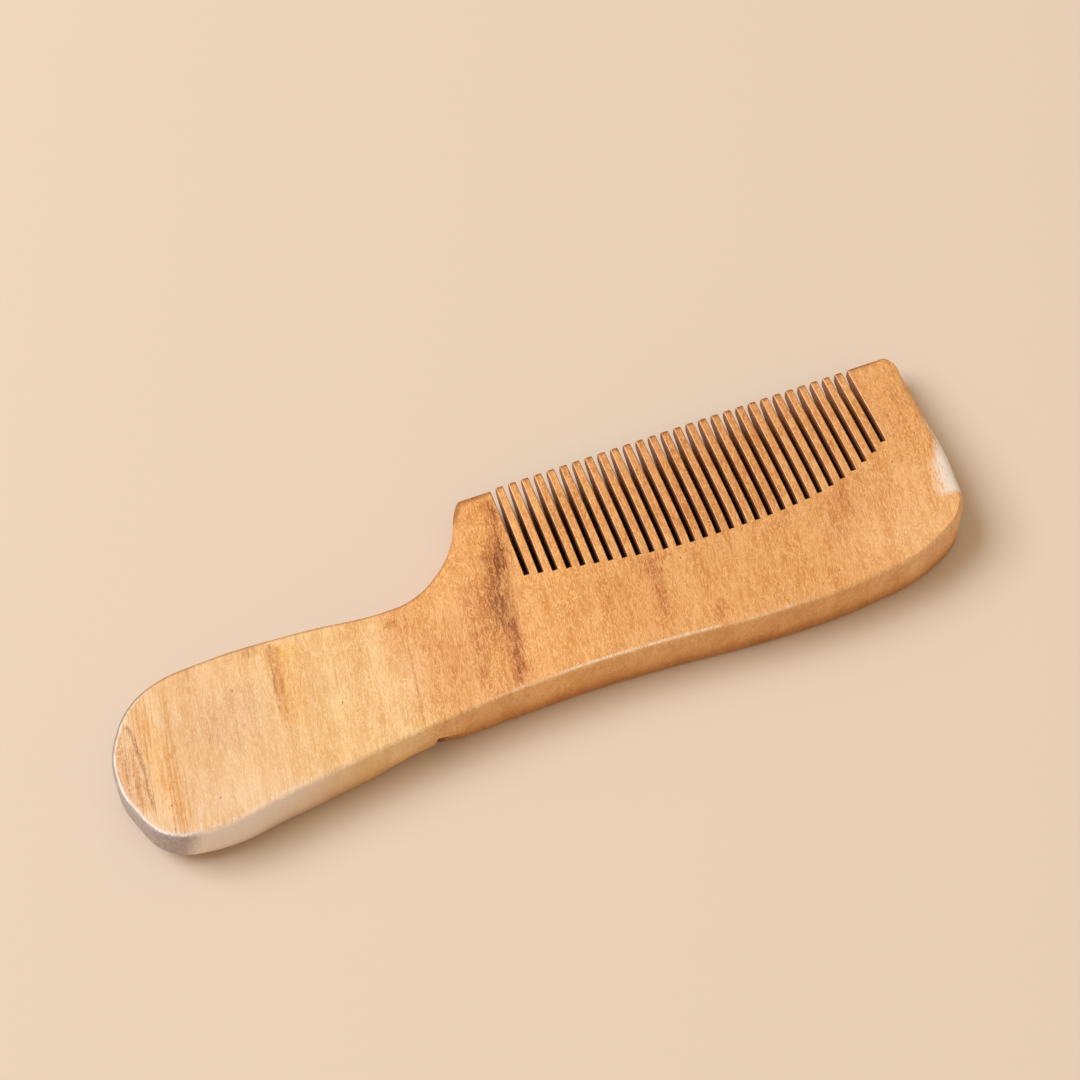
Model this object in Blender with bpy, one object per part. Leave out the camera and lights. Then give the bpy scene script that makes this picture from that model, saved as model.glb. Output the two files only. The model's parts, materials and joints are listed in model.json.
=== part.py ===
# A wooden comb with a paddle handle, made from one flat board of peach wood.
#
# The steps are those of the workshop: the outline is sawn, its edges are sanded
# round, the board is planed to a wedge, and a gang of saws cuts the kerfs that
# leave the teeth. The finished board is then divided into the parts that
# people name: handle, back, two broad guard teeth and the fine teeth.
# These parts are regions of the same wood, so they meet face to face, with no
# joint, glue line or clearance between them.
#
# X runs along the comb from the handle's end to the heel, Y points the way the
# teeth point, and Z is up. The comb lies on its face at Z = 0, and its origin
# is the middle of its length and width.

from math import cos, pi, radians, sin, tan

import bmesh
import bpy
from mathutils import Vector

MM = 0.001

# Overall sizes
overall_length = 172.0 * MM
handle_length = 59.2 * MM
head_depth = 48.5 * MM            # from the tooth tips to the back's lowest point
handle_width = 34.6 * MM
handle_offset = 36.05 * MM        # from the tooth tips to the handle's centre line
board_thickness = 11.5 * MM

# Planed wedge: both faces fall away towards the tooth tips
taper_length = 25.0 * MM
taper_power = 1.15
tip_thickness = 2.95 * MM         # where the rounded nose begins
nose_length = 1.0 * MM
nose_flat = 1.2 * MM              # what the rounding leaves of the tip's end

# The handle's end is thinned from below
end_thinning = 2.6 * MM
thinned_length = 30.0 * MM
thinning_power = 1.5

# Teeth: as many as fit between the two guard teeth. They lean a little towards the heel.
tooth_pitch = 2.686 * MM
inner_guard_width = 7.79 * MM     # to the middle of the first kerf
outer_guard_width = 10.4 * MM     # at least, from the middle of the last kerf to the heel
kerf_width = 1.15 * MM
mouth_width = 1.25 * MM           # the kerf at its mouth, where the teeth are slimmed
tip_gap = 1.85 * MM               # the kerf between the rounded tooth tips
slimmed_length = 8.0 * MM
first_kerf_lean = radians(3.3)
last_kerf_lean = radians(1.9)
lean_place = 13.7 * MM            # below the tooth tips, where the kerfs' places are measured
tip_round_length = 0.5 * MM

# The kerf ends follow an arc that falls away to both sides of its deepest point
deepest_kerf = 28.1 * MM
inner_kerf_fall = 4.6 * MM
outer_kerf_fall = 8.0 * MM
deepest_place_share = 0.43        # of the row of kerfs
inner_fall_power = 1.4
outer_fall_power = 3.7

# Sanded edges
face_round = 0.9 * MM
end_face_round = 3.0 * MM
largest_under_round = 4.6 * MM
palm_fade = 12.0 * MM             # over which the palm's wear fades across the handle's end
tip_fade = 20.0 * MM              # over which the heel's rounding fades towards the tips
inner_corner_round = 1.5 * MM     # corner of the guard tooth beside the handle
outer_corner_round = 1.8 * MM     # corner of the guard tooth at the heel

# The row of tips rises evenly to the heel's corner, and the inner guard tooth stops short of it
inner_tip_drop = 0.6 * MM
tips_rise = 0.8 * MM

# Saw nick under the waist
nick_length = 8.0 * MM
nick_depth = 1.6 * MM
nick_height = 6.0 * MM
nick_tilt = radians(24.0)

# Where the teeth are taken to begin
inner_guard_root = 18.0 * MM      # below the tooth tips
root_clearance = 0.1 * MM         # above the end of the shallower kerf beside a tooth

# Modelling
overrun = 4.0 * MM
outline_steps = 6
round_steps = 3
taper_steps = 5
nose_steps = 3
thinning_steps = 6
flat_angle = radians(0.05)
weld_distance = 0.001 * MM

# Handle outline, from the waist on the back side round the end to the waist on
# the tooth side: shares of the handle's length and of half its width
HANDLE_SHARES = (
    (0.50, -0.885), (0.225, -1.0), (0.094, -0.885), (0.024, -0.50), (0.0, -0.065),
    (0.042, 0.425), (0.168, 0.865), (0.395, 1.0), (0.695, 0.965),
)
WAIST_SHARES = (-0.660, 0.868)

# Head outline, from the waist on the back side to the heel: shares of the
# head's length and of its depth
BACK_SHARES = (
    (0.245, 0.9487), (0.40, 0.9595), (0.61, 0.993), (0.775, 0.984), (0.902, 0.918),
    (0.9725, 0.8055), (0.9955, 0.6267), (0.9962, 0.284), (0.9967, 0.138),
)
OUTER_CORNER_SHARE = 0.9960
# The shoulder that runs from the inner guard tooth down to the waist
INNER_CORNER_SHARE = 0.1702
SHOULDER_SHARES = ((0.1627, 0.0921), (0.1366, 0.2279), (0.0780, 0.3706), (0.0350, 0.4205))

# How far the edges are rounded along the comb: shares of the overall length and
# of the largest rounding. The palm wears the lower edge on the back side alone.
UNDER_ROUND_SHARES = (
    (0.0, 0.74), (0.05, 0.72), (0.10, 0.63), (0.18, 0.51), (0.23, 0.46), (0.27, 0.54), (0.29, 0.78),
    (0.316, 1.0), (0.343, 1.0), (0.37, 0.46), (0.46, 0.22), (1.0, 0.22),
)
FACE_ROUND_SHARES = ((0.0, 0.4), (0.06, 0.3), (0.12, 0.0), (0.86, 0.0), (0.95, 1.0), (1.0, 1.0))

# Places that follow from the sizes
overall_width = handle_offset + handle_width / 2
handle_end_x = -overall_length / 2
waist_x = handle_end_x + handle_length
head_length = overall_length - handle_length
tips_y = overall_width / 2
handle_centre_y = tips_y - handle_offset
inner_corner_x = waist_x + INNER_CORNER_SHARE * head_length
outer_corner_x = waist_x + OUTER_CORNER_SHARE * head_length
first_kerf_x = inner_corner_x + inner_guard_width
tooth_count = int((overall_length / 2 - outer_guard_width - first_kerf_x) / tooth_pitch)
kerf_count = tooth_count + 1
row_start_x = first_kerf_x + tip_gap
row_end_x = outer_corner_x - outer_corner_round
tips_slope = tips_rise / (row_end_x - row_start_x)


def read_shares(table, place):
    """Return the value that a table of (place, value) rows gives at a place, in straight steps."""
    for (low, low_value), (high, high_value) in zip(table, table[1:]):
        if place <= high:
            return low_value + (high_value - low_value) * max(place - low, 0) / (high - low)
    return table[-1][1]


def kerf_x(number, y):
    """Return where the middle of kerf 0, 1, 2... is along the comb, at a place across it."""
    lean = first_kerf_lean + (last_kerf_lean - first_kerf_lean) * number / (kerf_count - 1)
    return first_kerf_x + number * tooth_pitch + (y - tips_y + lean_place) * tan(lean)


def below_row(x, y):
    """Return the height, at the row's outer end, of a line through a place that runs along the tips."""
    return y + tips_slope * (row_end_x - x)


def kerf_depth(number):
    """Return how deep a kerf goes below the tooth tips."""
    place = number / (kerf_count - 1) - deepest_place_share
    if place < 0:
        return deepest_kerf - inner_kerf_fall * (-place / deepest_place_share) ** inner_fall_power
    return deepest_kerf - outer_kerf_fall * (place / (1 - deepest_place_share)) ** outer_fall_power


def make_collection(name):
    collection = bpy.data.collections.new(name)
    bpy.context.scene.collection.children.link(collection)
    return collection


def wood_material(name, colour, roughness):
    material = bpy.data.materials.new(name)
    material.use_nodes = True
    shader = material.node_tree.nodes["Principled BSDF"]
    shader.inputs["Base Color"].default_value = (*colour, 1.0)
    shader.inputs["Roughness"].default_value = roughness
    shader.inputs["Metallic"].default_value = 0.0
    return material


def evaluated_mesh(obj):
    graph = bpy.context.evaluated_depsgraph_get()
    return bpy.data.meshes.new_from_object(obj.evaluated_get(graph))


def solid_from_curve(curve_object, collection):
    """Turn a filled 2D curve into a closed mesh whose flat faces are whole, and drop the curve."""
    name = curve_object.name
    place = curve_object.matrix_world.copy()
    mesh = evaluated_mesh(curve_object)
    bpy.data.objects.remove(curve_object)
    shape = bmesh.new()
    shape.from_mesh(mesh)
    bmesh.ops.remove_doubles(shape, verts=shape.verts, dist=weld_distance)
    bmesh.ops.dissolve_limit(shape, angle_limit=flat_angle, verts=shape.verts, edges=shape.edges)
    bmesh.ops.recalc_face_normals(shape, faces=shape.faces)
    shape.to_mesh(mesh)
    shape.free()
    solid = bpy.data.objects.new(name, mesh)
    solid.matrix_world = place
    collection.objects.link(solid)
    return solid


def smooth_outline(curve, points):
    """Add a closed outline. Each point is (x, y, reach).

    A point without reach takes its direction from its neighbours. At a point
    with reach the outline follows the row of tips, pulled that far to each side.
    """
    spline = curve.splines.new("BEZIER")
    spline.bezier_points.add(len(points) - 1)
    for knot, (x, y, reach) in zip(spline.bezier_points, points):
        kind = "FREE" if reach else "AUTO"
        knot.handle_left_type = kind
        knot.handle_right_type = kind
        knot.co = (x, y, 0)
        knot.handle_left = (x - reach, y - reach * tips_slope, 0)
        knot.handle_right = (x + reach, y + reach * tips_slope, 0)
    spline.use_cyclic_u = True


def straight_outline(curve, points):
    spline = curve.splines.new("POLY")
    spline.points.add(len(points) - 1)
    for knot, (x, y) in zip(spline.points, points):
        knot.co = (x, y, 0, 1)
    spline.use_cyclic_u = True


def upright_prism(name, outlines, collection):
    """Extrude straight-sided outlines right through the board."""
    curve = bpy.data.curves.new(name, "CURVE")
    curve.dimensions = "2D"
    curve.fill_mode = "BOTH"
    curve.extrude = board_thickness / 2 + overrun
    for outline in outlines:
        straight_outline(curve, outline)
    curve_object = bpy.data.objects.new(name, curve)
    curve_object.location.z = board_thickness / 2
    collection.objects.link(curve_object)
    bpy.context.view_layer.update()
    return solid_from_curve(curve_object, collection)


def add_boolean(obj, cutter, operation):
    step = obj.modifiers.new(cutter.name, "BOOLEAN")
    step.operation = operation
    step.object = cutter
    step.solver = "EXACT"
    return step


def apply_modifiers(obj):
    mesh = evaluated_mesh(obj)
    obj.modifiers.clear()
    obj.data = mesh


def hide_cutters(collection):
    for cutter in collection.objects:
        cutter.display_type = "WIRE"
        cutter.hide_render = True


def outline_knots():
    """Return the outline's knots, clockwise from the waist round the handle and the head."""
    half_width = handle_width / 2
    waist_low, waist_high = WAIST_SHARES
    knots = [(waist_x, handle_centre_y + waist_low * half_width, 0)]
    for along, across in HANDLE_SHARES:
        knots.append((handle_end_x + along * handle_length, handle_centre_y + across * half_width, 0))
    knots.append((waist_x, handle_centre_y + waist_high * half_width, 0))
    for along, down in reversed(SHOULDER_SHARES):
        knots.append((waist_x + along * head_length, tips_y - down * head_depth, 0))
    start_y = tips_y - tips_rise
    inner_tip_y = start_y - inner_tip_drop
    tip_start_x = inner_corner_x + inner_corner_round
    tip_start_y = inner_tip_y - tips_slope * (first_kerf_x - tip_start_x)
    knots.append((inner_corner_x, tip_start_y - inner_corner_round, 0))
    knots.append((tip_start_x, tip_start_y, inner_corner_round / 2))
    knots.append((first_kerf_x, inner_tip_y, tip_gap / 4))
    knots.append((row_start_x, start_y, tip_gap / 4))
    knots.append((row_end_x, tips_y, outer_corner_round / 2))
    knots.append((outer_corner_x, tips_y - outer_corner_round, 0))
    for along, down in reversed(BACK_SHARES):
        knots.append((waist_x + along * head_length, tips_y - down * head_depth, 0))
    return knots


def sawn_outline():
    """Return the points of the sawn outline in plan, clockwise."""
    curve = bpy.data.curves.new("sawn_outline", "CURVE")
    curve.dimensions = "2D"
    curve.fill_mode = "NONE"
    curve.resolution_u = outline_steps
    smooth_outline(curve, outline_knots())
    curve_object = bpy.data.objects.new("sawn_outline", curve)
    bpy.context.scene.collection.objects.link(curve_object)
    points = [vertex.co.copy() for vertex in evaluated_mesh(curve_object).vertices]
    bpy.data.objects.remove(curve_object)
    return points


def edge_radii(point):
    """Return how far the lower and the upper edge are rounded at a point of the outline."""
    along = (point.x - handle_end_x) / overall_length
    worn = largest_under_round * read_shares(UNDER_ROUND_SHARES, along)
    palm_share = min(max((handle_centre_y - point.y) / palm_fade + 0.5, 0), 1)
    lower = face_round + (worn - face_round) * palm_share
    end_share = read_shares(FACE_ROUND_SHARES, along) * min((tips_y - point.y) / tip_fade, 1)
    upper = face_round + (end_face_round - face_round) * end_share
    return lower, upper


def edge_profile(point, inward):
    """Return the places down the board's edge at a point, from the lower face to the upper one."""
    lower, upper = edge_radii(point)
    turns = [pi / 2 * step / round_steps for step in range(round_steps + 1)]
    places = []
    for turn in turns:
        place = point + inward * lower * (1 - sin(turn))
        place.z = lower * (1 - cos(turn)) - board_thickness / 2
        places.append(place)
    for turn in reversed(turns):
        place = point + inward * upper * (1 - sin(turn))
        place.z = board_thickness / 2 - upper * (1 - cos(turn))
        places.append(place)
    return places


def rounded_board():
    """Make the flat board with its sawn outline and its sanded edges."""
    points = sawn_outline()
    following = points[1:] + points[:1]
    previous = points[-1:] + points[:-1]
    profiles = []
    for point, after, before in zip(points, following, previous):
        course = (after - before).normalized()
        profiles.append(edge_profile(point, Vector((course.y, -course.x, 0))))
    shape = bmesh.new()
    rings = [[shape.verts.new(place) for place in ring] for ring in zip(*profiles)]
    shape.faces.new(rings[0])
    shape.faces.new(rings[-1])
    for low, high in zip(rings, rings[1:]):
        for number in range(len(low)):
            shape.faces.new((low[number - 1], low[number], high[number], high[number - 1]))
    return shape


def planed_rows():
    """Return the planed section at the heel: (y, share of the board's thickness) rows towards the tips."""
    tip_share = tip_thickness / board_thickness
    flat_share = nose_flat / board_thickness
    rows = []
    for step in range(taper_steps + 1):
        part = step / taper_steps
        y = tips_y - taper_length + part * (taper_length - nose_length)
        rows.append((y, 1 - (1 - tip_share) * part ** taper_power))
    for step in range(1, nose_steps + 1):
        turn = pi / 2 * step / nose_steps
        y = tips_y - nose_length * (1 - sin(turn))
        rows.append((y, flat_share + (tip_share - flat_share) * cos(turn)))
    return rows


def thinned_rows():
    """Return how far the lower face is planed off: (x, depth) rows from the handle's end."""
    rows = []
    for step in range(thinning_steps + 1):
        part = step / thinning_steps
        rows.append((handle_end_x + part * thinned_length, end_thinning * (1 - part) ** thinning_power))
    return rows


def score_across(shape, place, direction):
    """Split the faces along a plane, so that they can bend there."""
    everything = shape.verts[:] + shape.edges[:] + shape.faces[:]
    bmesh.ops.bisect_plane(shape, geom=everything, dist=weld_distance, plane_co=place, plane_no=direction)


def plane_board(shape):
    """Plane both faces down towards the tips, and the lower one up towards the handle's end."""
    planed = planed_rows()
    thinned = thinned_rows()
    for y, _ in planed[:-1]:
        score_across(shape, (row_end_x, y, 0), (-tips_slope, 1, 0))
    for x, _ in thinned[1:]:
        score_across(shape, (x, 0, 0), (1, 0, 0))
    for vertex in shape.verts:
        depth_share = 0.5 - vertex.co.z / board_thickness
        lift = depth_share * read_shares(thinned, vertex.co.x)
        planed_share = read_shares(planed, below_row(vertex.co.x, vertex.co.y))
        vertex.co.z = vertex.co.z * planed_share + lift
    shape.normal_update()
    bmesh.ops.dissolve_limit(shape, angle_limit=flat_angle, verts=shape.verts, edges=shape.edges)
    bmesh.ops.triangulate(shape, faces=shape.faces)
    bmesh.ops.recalc_face_normals(shape, faces=shape.faces)


def kerf_outline(number):
    """Return one kerf in plan: square at its end, wider at its mouth between the tooth tips."""
    half_sides = (
        (kerf_width / 2, tips_y - kerf_depth(number)),
        (kerf_width / 2, tips_y - slimmed_length),
        (mouth_width / 2, tips_y - tip_round_length),
        (tip_gap / 2, tips_y),
        (tip_gap / 2, tips_y + overrun),
    )
    left = [(kerf_x(number, y) - half, y) for half, y in half_sides]
    right = [(kerf_x(number, y) + half, y) for half, y in reversed(half_sides)]
    return left + right


def nick_cutter(collection):
    """Make the slanted block that leaves the nick in the lower edge beside the waist."""
    waist_low, _ = WAIST_SHARES
    waist_y = handle_centre_y + waist_low * handle_width / 2
    name = "saw_nick"
    mesh = bpy.data.meshes.new(name)
    shape = bmesh.new()
    bmesh.ops.create_cube(shape, size=1)
    bmesh.ops.scale(shape, verts=shape.verts, vec=(nick_length * 2, nick_length, nick_height))
    bmesh.ops.translate(shape, verts=shape.verts, vec=(nick_length, -nick_length / 2, -nick_height / 2))
    shape.to_mesh(mesh)
    shape.free()
    cutter = bpy.data.objects.new(name, mesh)
    cutter.location = (waist_x, waist_y + nick_depth, nick_height / 2)
    cutter.rotation_euler = (nick_tilt, 0, -nick_depth / nick_length)
    collection.objects.link(cutter)
    return cutter


def make_comb(collection):
    """Make the whole comb from one board, before it is divided."""
    shape = rounded_board()
    plane_board(shape)
    mesh = bpy.data.meshes.new("whole_comb")
    shape.to_mesh(mesh)
    shape.free()
    comb = bpy.data.objects.new("whole_comb", mesh)
    comb.location.z = board_thickness / 2
    collection.objects.link(comb)
    add_boolean(comb, nick_cutter(collection), "DIFFERENCE")
    kerfs = upright_prism("kerfs", [kerf_outline(number) for number in range(kerf_count)], collection)
    add_boolean(comb, kerfs, "DIFFERENCE")
    comb.modifiers.new("flat_facets", "TRIANGULATE")
    apply_modifiers(comb)
    return comb


def root_y(number):
    """Return where fine tooth 0, 1, 2... begins: just clear of the shallower kerf's end."""
    return tips_y - min(kerf_depth(number), kerf_depth(number + 1)) + root_clearance


def region_outlines():
    """Return each named part's region in plan. The regions cover the comb and only share edges."""
    far_x = overall_length / 2 + overrun
    far_y = overall_width / 2 + overrun
    last = kerf_count - 1
    inner_root = tips_y - inner_guard_root
    outer_root = root_y(last - 1)
    inner_edge = [(kerf_x(0, inner_root), inner_root), (kerf_x(0, far_y), far_y)]
    outer_edge = [(kerf_x(last, far_y), far_y), (kerf_x(last, outer_root), outer_root)]
    regions = {
        "handle": [(-far_x, -far_y), (waist_x, -far_y), (waist_x, far_y), (-far_x, far_y)],
        "guard_tooth_inner": [(waist_x, inner_root)] + inner_edge + [(waist_x, far_y)],
        "guard_tooth_outer": [(far_x, outer_root), (far_x, far_y)] + outer_edge,
    }
    steps = [(waist_x, inner_root), inner_edge[0]]
    for number in range(tooth_count):
        low = root_y(number)
        root = [(kerf_x(number, low), low), (kerf_x(number + 1, low), low)]
        tip = [(kerf_x(number + 1, far_y), far_y), (kerf_x(number, far_y), far_y)]
        regions[f"tooth_{number + 1:02d}"] = root + tip
        steps += root
    steps += [outer_edge[1], (far_x, outer_root)]
    regions["back"] = [(far_x, -far_y), (waist_x, -far_y)] + steps
    return regions


# Colours of the wood, paler towards the handle's end and warmer at the teeth
WOOD_TONES = {
    "handle": (0.83, 0.52, 0.25),
    "back": (0.80, 0.46, 0.19),
    "guard": (0.78, 0.42, 0.16),
    "tooth": (0.72, 0.35, 0.12),
}
WOOD_ROUGHNESS = 0.5


def divide_comb(comb, parts, cutters):
    """Cut the comb into its named parts along their regions' shared edges."""
    for name, outline in region_outlines().items():
        region = upright_prism(f"region_{name}", [outline], cutters)
        part = bpy.data.objects.new(name, comb.data.copy())
        part.matrix_world = comb.matrix_world
        parts.objects.link(part)
        add_boolean(part, region, "INTERSECT")
        part.data.materials.clear()
        tone = WOOD_TONES[name.split("_")[0]]
        part.data.materials.append(wood_material(f"{name}_wood", tone, WOOD_ROUGHNESS))


def main():
    for obj in list(bpy.data.objects):
        bpy.data.objects.remove(obj)
    parts = make_collection("wooden_comb")
    cutters = make_collection("cutters")
    comb = make_comb(cutters)
    divide_comb(comb, parts, cutters)
    hide_cutters(cutters)


main()
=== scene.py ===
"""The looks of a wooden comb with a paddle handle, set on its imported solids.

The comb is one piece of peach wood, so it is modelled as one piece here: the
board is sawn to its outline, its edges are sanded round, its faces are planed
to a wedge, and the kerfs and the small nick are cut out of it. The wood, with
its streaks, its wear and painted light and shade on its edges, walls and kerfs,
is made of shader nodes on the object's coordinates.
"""

import json
import logging
from contextlib import contextmanager
from dataclasses import dataclass, field
from enum import Enum
from math import cos, pi, radians, sin, sqrt, tan
from typing import Callable, Iterator, Sequence, Union

import bmesh
import bpy
from mathutils import Euler, Matrix, Vector, kdtree, noise

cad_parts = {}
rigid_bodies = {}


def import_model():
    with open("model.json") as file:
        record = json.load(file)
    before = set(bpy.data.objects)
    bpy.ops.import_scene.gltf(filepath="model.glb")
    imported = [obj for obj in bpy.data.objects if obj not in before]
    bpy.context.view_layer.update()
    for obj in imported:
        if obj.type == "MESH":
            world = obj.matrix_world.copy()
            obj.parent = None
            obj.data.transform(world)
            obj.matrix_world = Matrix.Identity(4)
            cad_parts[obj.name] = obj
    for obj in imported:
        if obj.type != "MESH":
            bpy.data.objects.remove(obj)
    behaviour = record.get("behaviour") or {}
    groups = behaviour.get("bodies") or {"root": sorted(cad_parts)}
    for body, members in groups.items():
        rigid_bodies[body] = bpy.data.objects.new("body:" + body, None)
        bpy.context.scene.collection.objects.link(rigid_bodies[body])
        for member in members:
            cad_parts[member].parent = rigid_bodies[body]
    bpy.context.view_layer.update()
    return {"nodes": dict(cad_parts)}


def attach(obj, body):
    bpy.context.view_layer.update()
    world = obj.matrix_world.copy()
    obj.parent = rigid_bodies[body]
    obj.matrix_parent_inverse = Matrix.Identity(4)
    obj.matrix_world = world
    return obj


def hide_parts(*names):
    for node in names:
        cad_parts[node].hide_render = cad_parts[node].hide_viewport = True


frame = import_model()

Piece = bpy.types.Object
Socket = bpy.types.NodeSocket
Sockets = bpy.types.bpy_prop_collection
Value = Union[float, tuple, Socket]

MM = 0.001
MERGE_GAP = 0.002 * MM
SLIVER_SIZE = 0.001 * MM
SMOOTH_TURN = radians(33)

log = logging.getLogger("comb")


class Bench:
    """The bench on which a piece is worked: what is selected, edit mode, and cuts."""

    @staticmethod
    def add(name: str, data: bpy.types.ID) -> Piece:
        """Put a new object in the scene and return it."""
        thing = bpy.data.objects.new(name, data)
        bpy.context.scene.collection.objects.link(thing)
        return thing

    @staticmethod
    def clear() -> None:
        """Select nothing."""
        for thing in bpy.context.view_layer.objects:
            thing.select_set(False)

    @staticmethod
    def take(piece: Piece) -> None:
        """Select one piece alone and make it the active one."""
        Bench.clear()
        piece.select_set(True)
        bpy.context.view_layer.objects.active = piece

    @staticmethod
    @contextmanager
    def editing(piece: Piece) -> Iterator[None]:
        """Hold a piece in edit mode.

        Args:
            piece: The mesh object to edit.
        """
        Bench.take(piece)
        bpy.ops.object.mode_set(mode="EDIT")
        bpy.ops.mesh.select_mode(type="FACE")
        yield
        bpy.ops.object.mode_set(mode="OBJECT")

    @staticmethod
    def pick_faces(piece: Piece, wanted: Callable[[bmesh.types.BMFace], bool]) -> None:
        """Select the faces that a test wants, in edit mode.

        Args:
            piece: The object in edit mode.
            wanted: The test that a face has to pass.
        """
        shape = bmesh.from_edit_mesh(piece.data)
        for face in shape.faces:
            face.select_set(wanted(face))
        shape.select_flush_mode()
        bmesh.update_edit_mesh(piece.data)

    @staticmethod
    def apply(piece: Piece, name: str) -> None:
        """Apply one modifier of a piece."""
        Bench.take(piece)
        bpy.ops.object.modifier_apply(modifier=name)

    @staticmethod
    def subtract(board: Piece, cutter: Piece, name: str) -> None:
        """Cut one piece out of another and throw the cutter away.

        Args:
            board: The piece that is cut.
            cutter: The closed piece that it loses.
            name: The name of the cut.
        """
        step = board.modifiers.new(name, "BOOLEAN")
        step.operation = "DIFFERENCE"
        step.solver = "EXACT"
        step.object = cutter
        Bench.apply(board, step.name)
        bpy.data.objects.remove(cutter)

    @staticmethod
    def put_in_order(piece: Piece) -> None:
        """Number a piece's places and faces by where they are.

        A cut leaves them in another order each time, and what is done next would
        then give a slightly different mesh each time.

        Args:
            piece: The mesh object.
        """
        mesh = piece.data
        places = [tuple(vertex.co) for vertex in mesh.vertices]
        order = sorted(range(len(places)), key=lambda number: places[number])
        rank = {number: new_number for new_number, number in enumerate(order)}
        rings = []
        for face in mesh.polygons:
            ring = [rank[number] for number in face.vertices]
            start = ring.index(min(ring))
            rings.append(ring[start:] + ring[:start])
        mesh.clear_geometry()
        mesh.from_pydata([places[number] for number in order], [], sorted(rings))


def lerp(low: float, high: float, part: float) -> float:
    """Return the value a part of the way from low to high."""
    return low + (high - low) * part


def clamp(value: float, low: float = 0.0, high: float = 1.0) -> float:
    """Return the value, kept between low and high."""
    return min(max(value, low), high)


def read_shares(table: Sequence[tuple[float, float]], place: float) -> float:
    """Read a table of (place, value) rows in straight steps.

    Args:
        table: The rows, by rising place.
        place: Where to read it.

    Returns:
        The value there, held at the table's ends.
    """
    for (low, low_value), (high, high_value) in zip(table, table[1:]):
        if place <= high:
            return lerp(low_value, high_value, max(place - low, 0) / (high - low))
    return table[-1][1]


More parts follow.
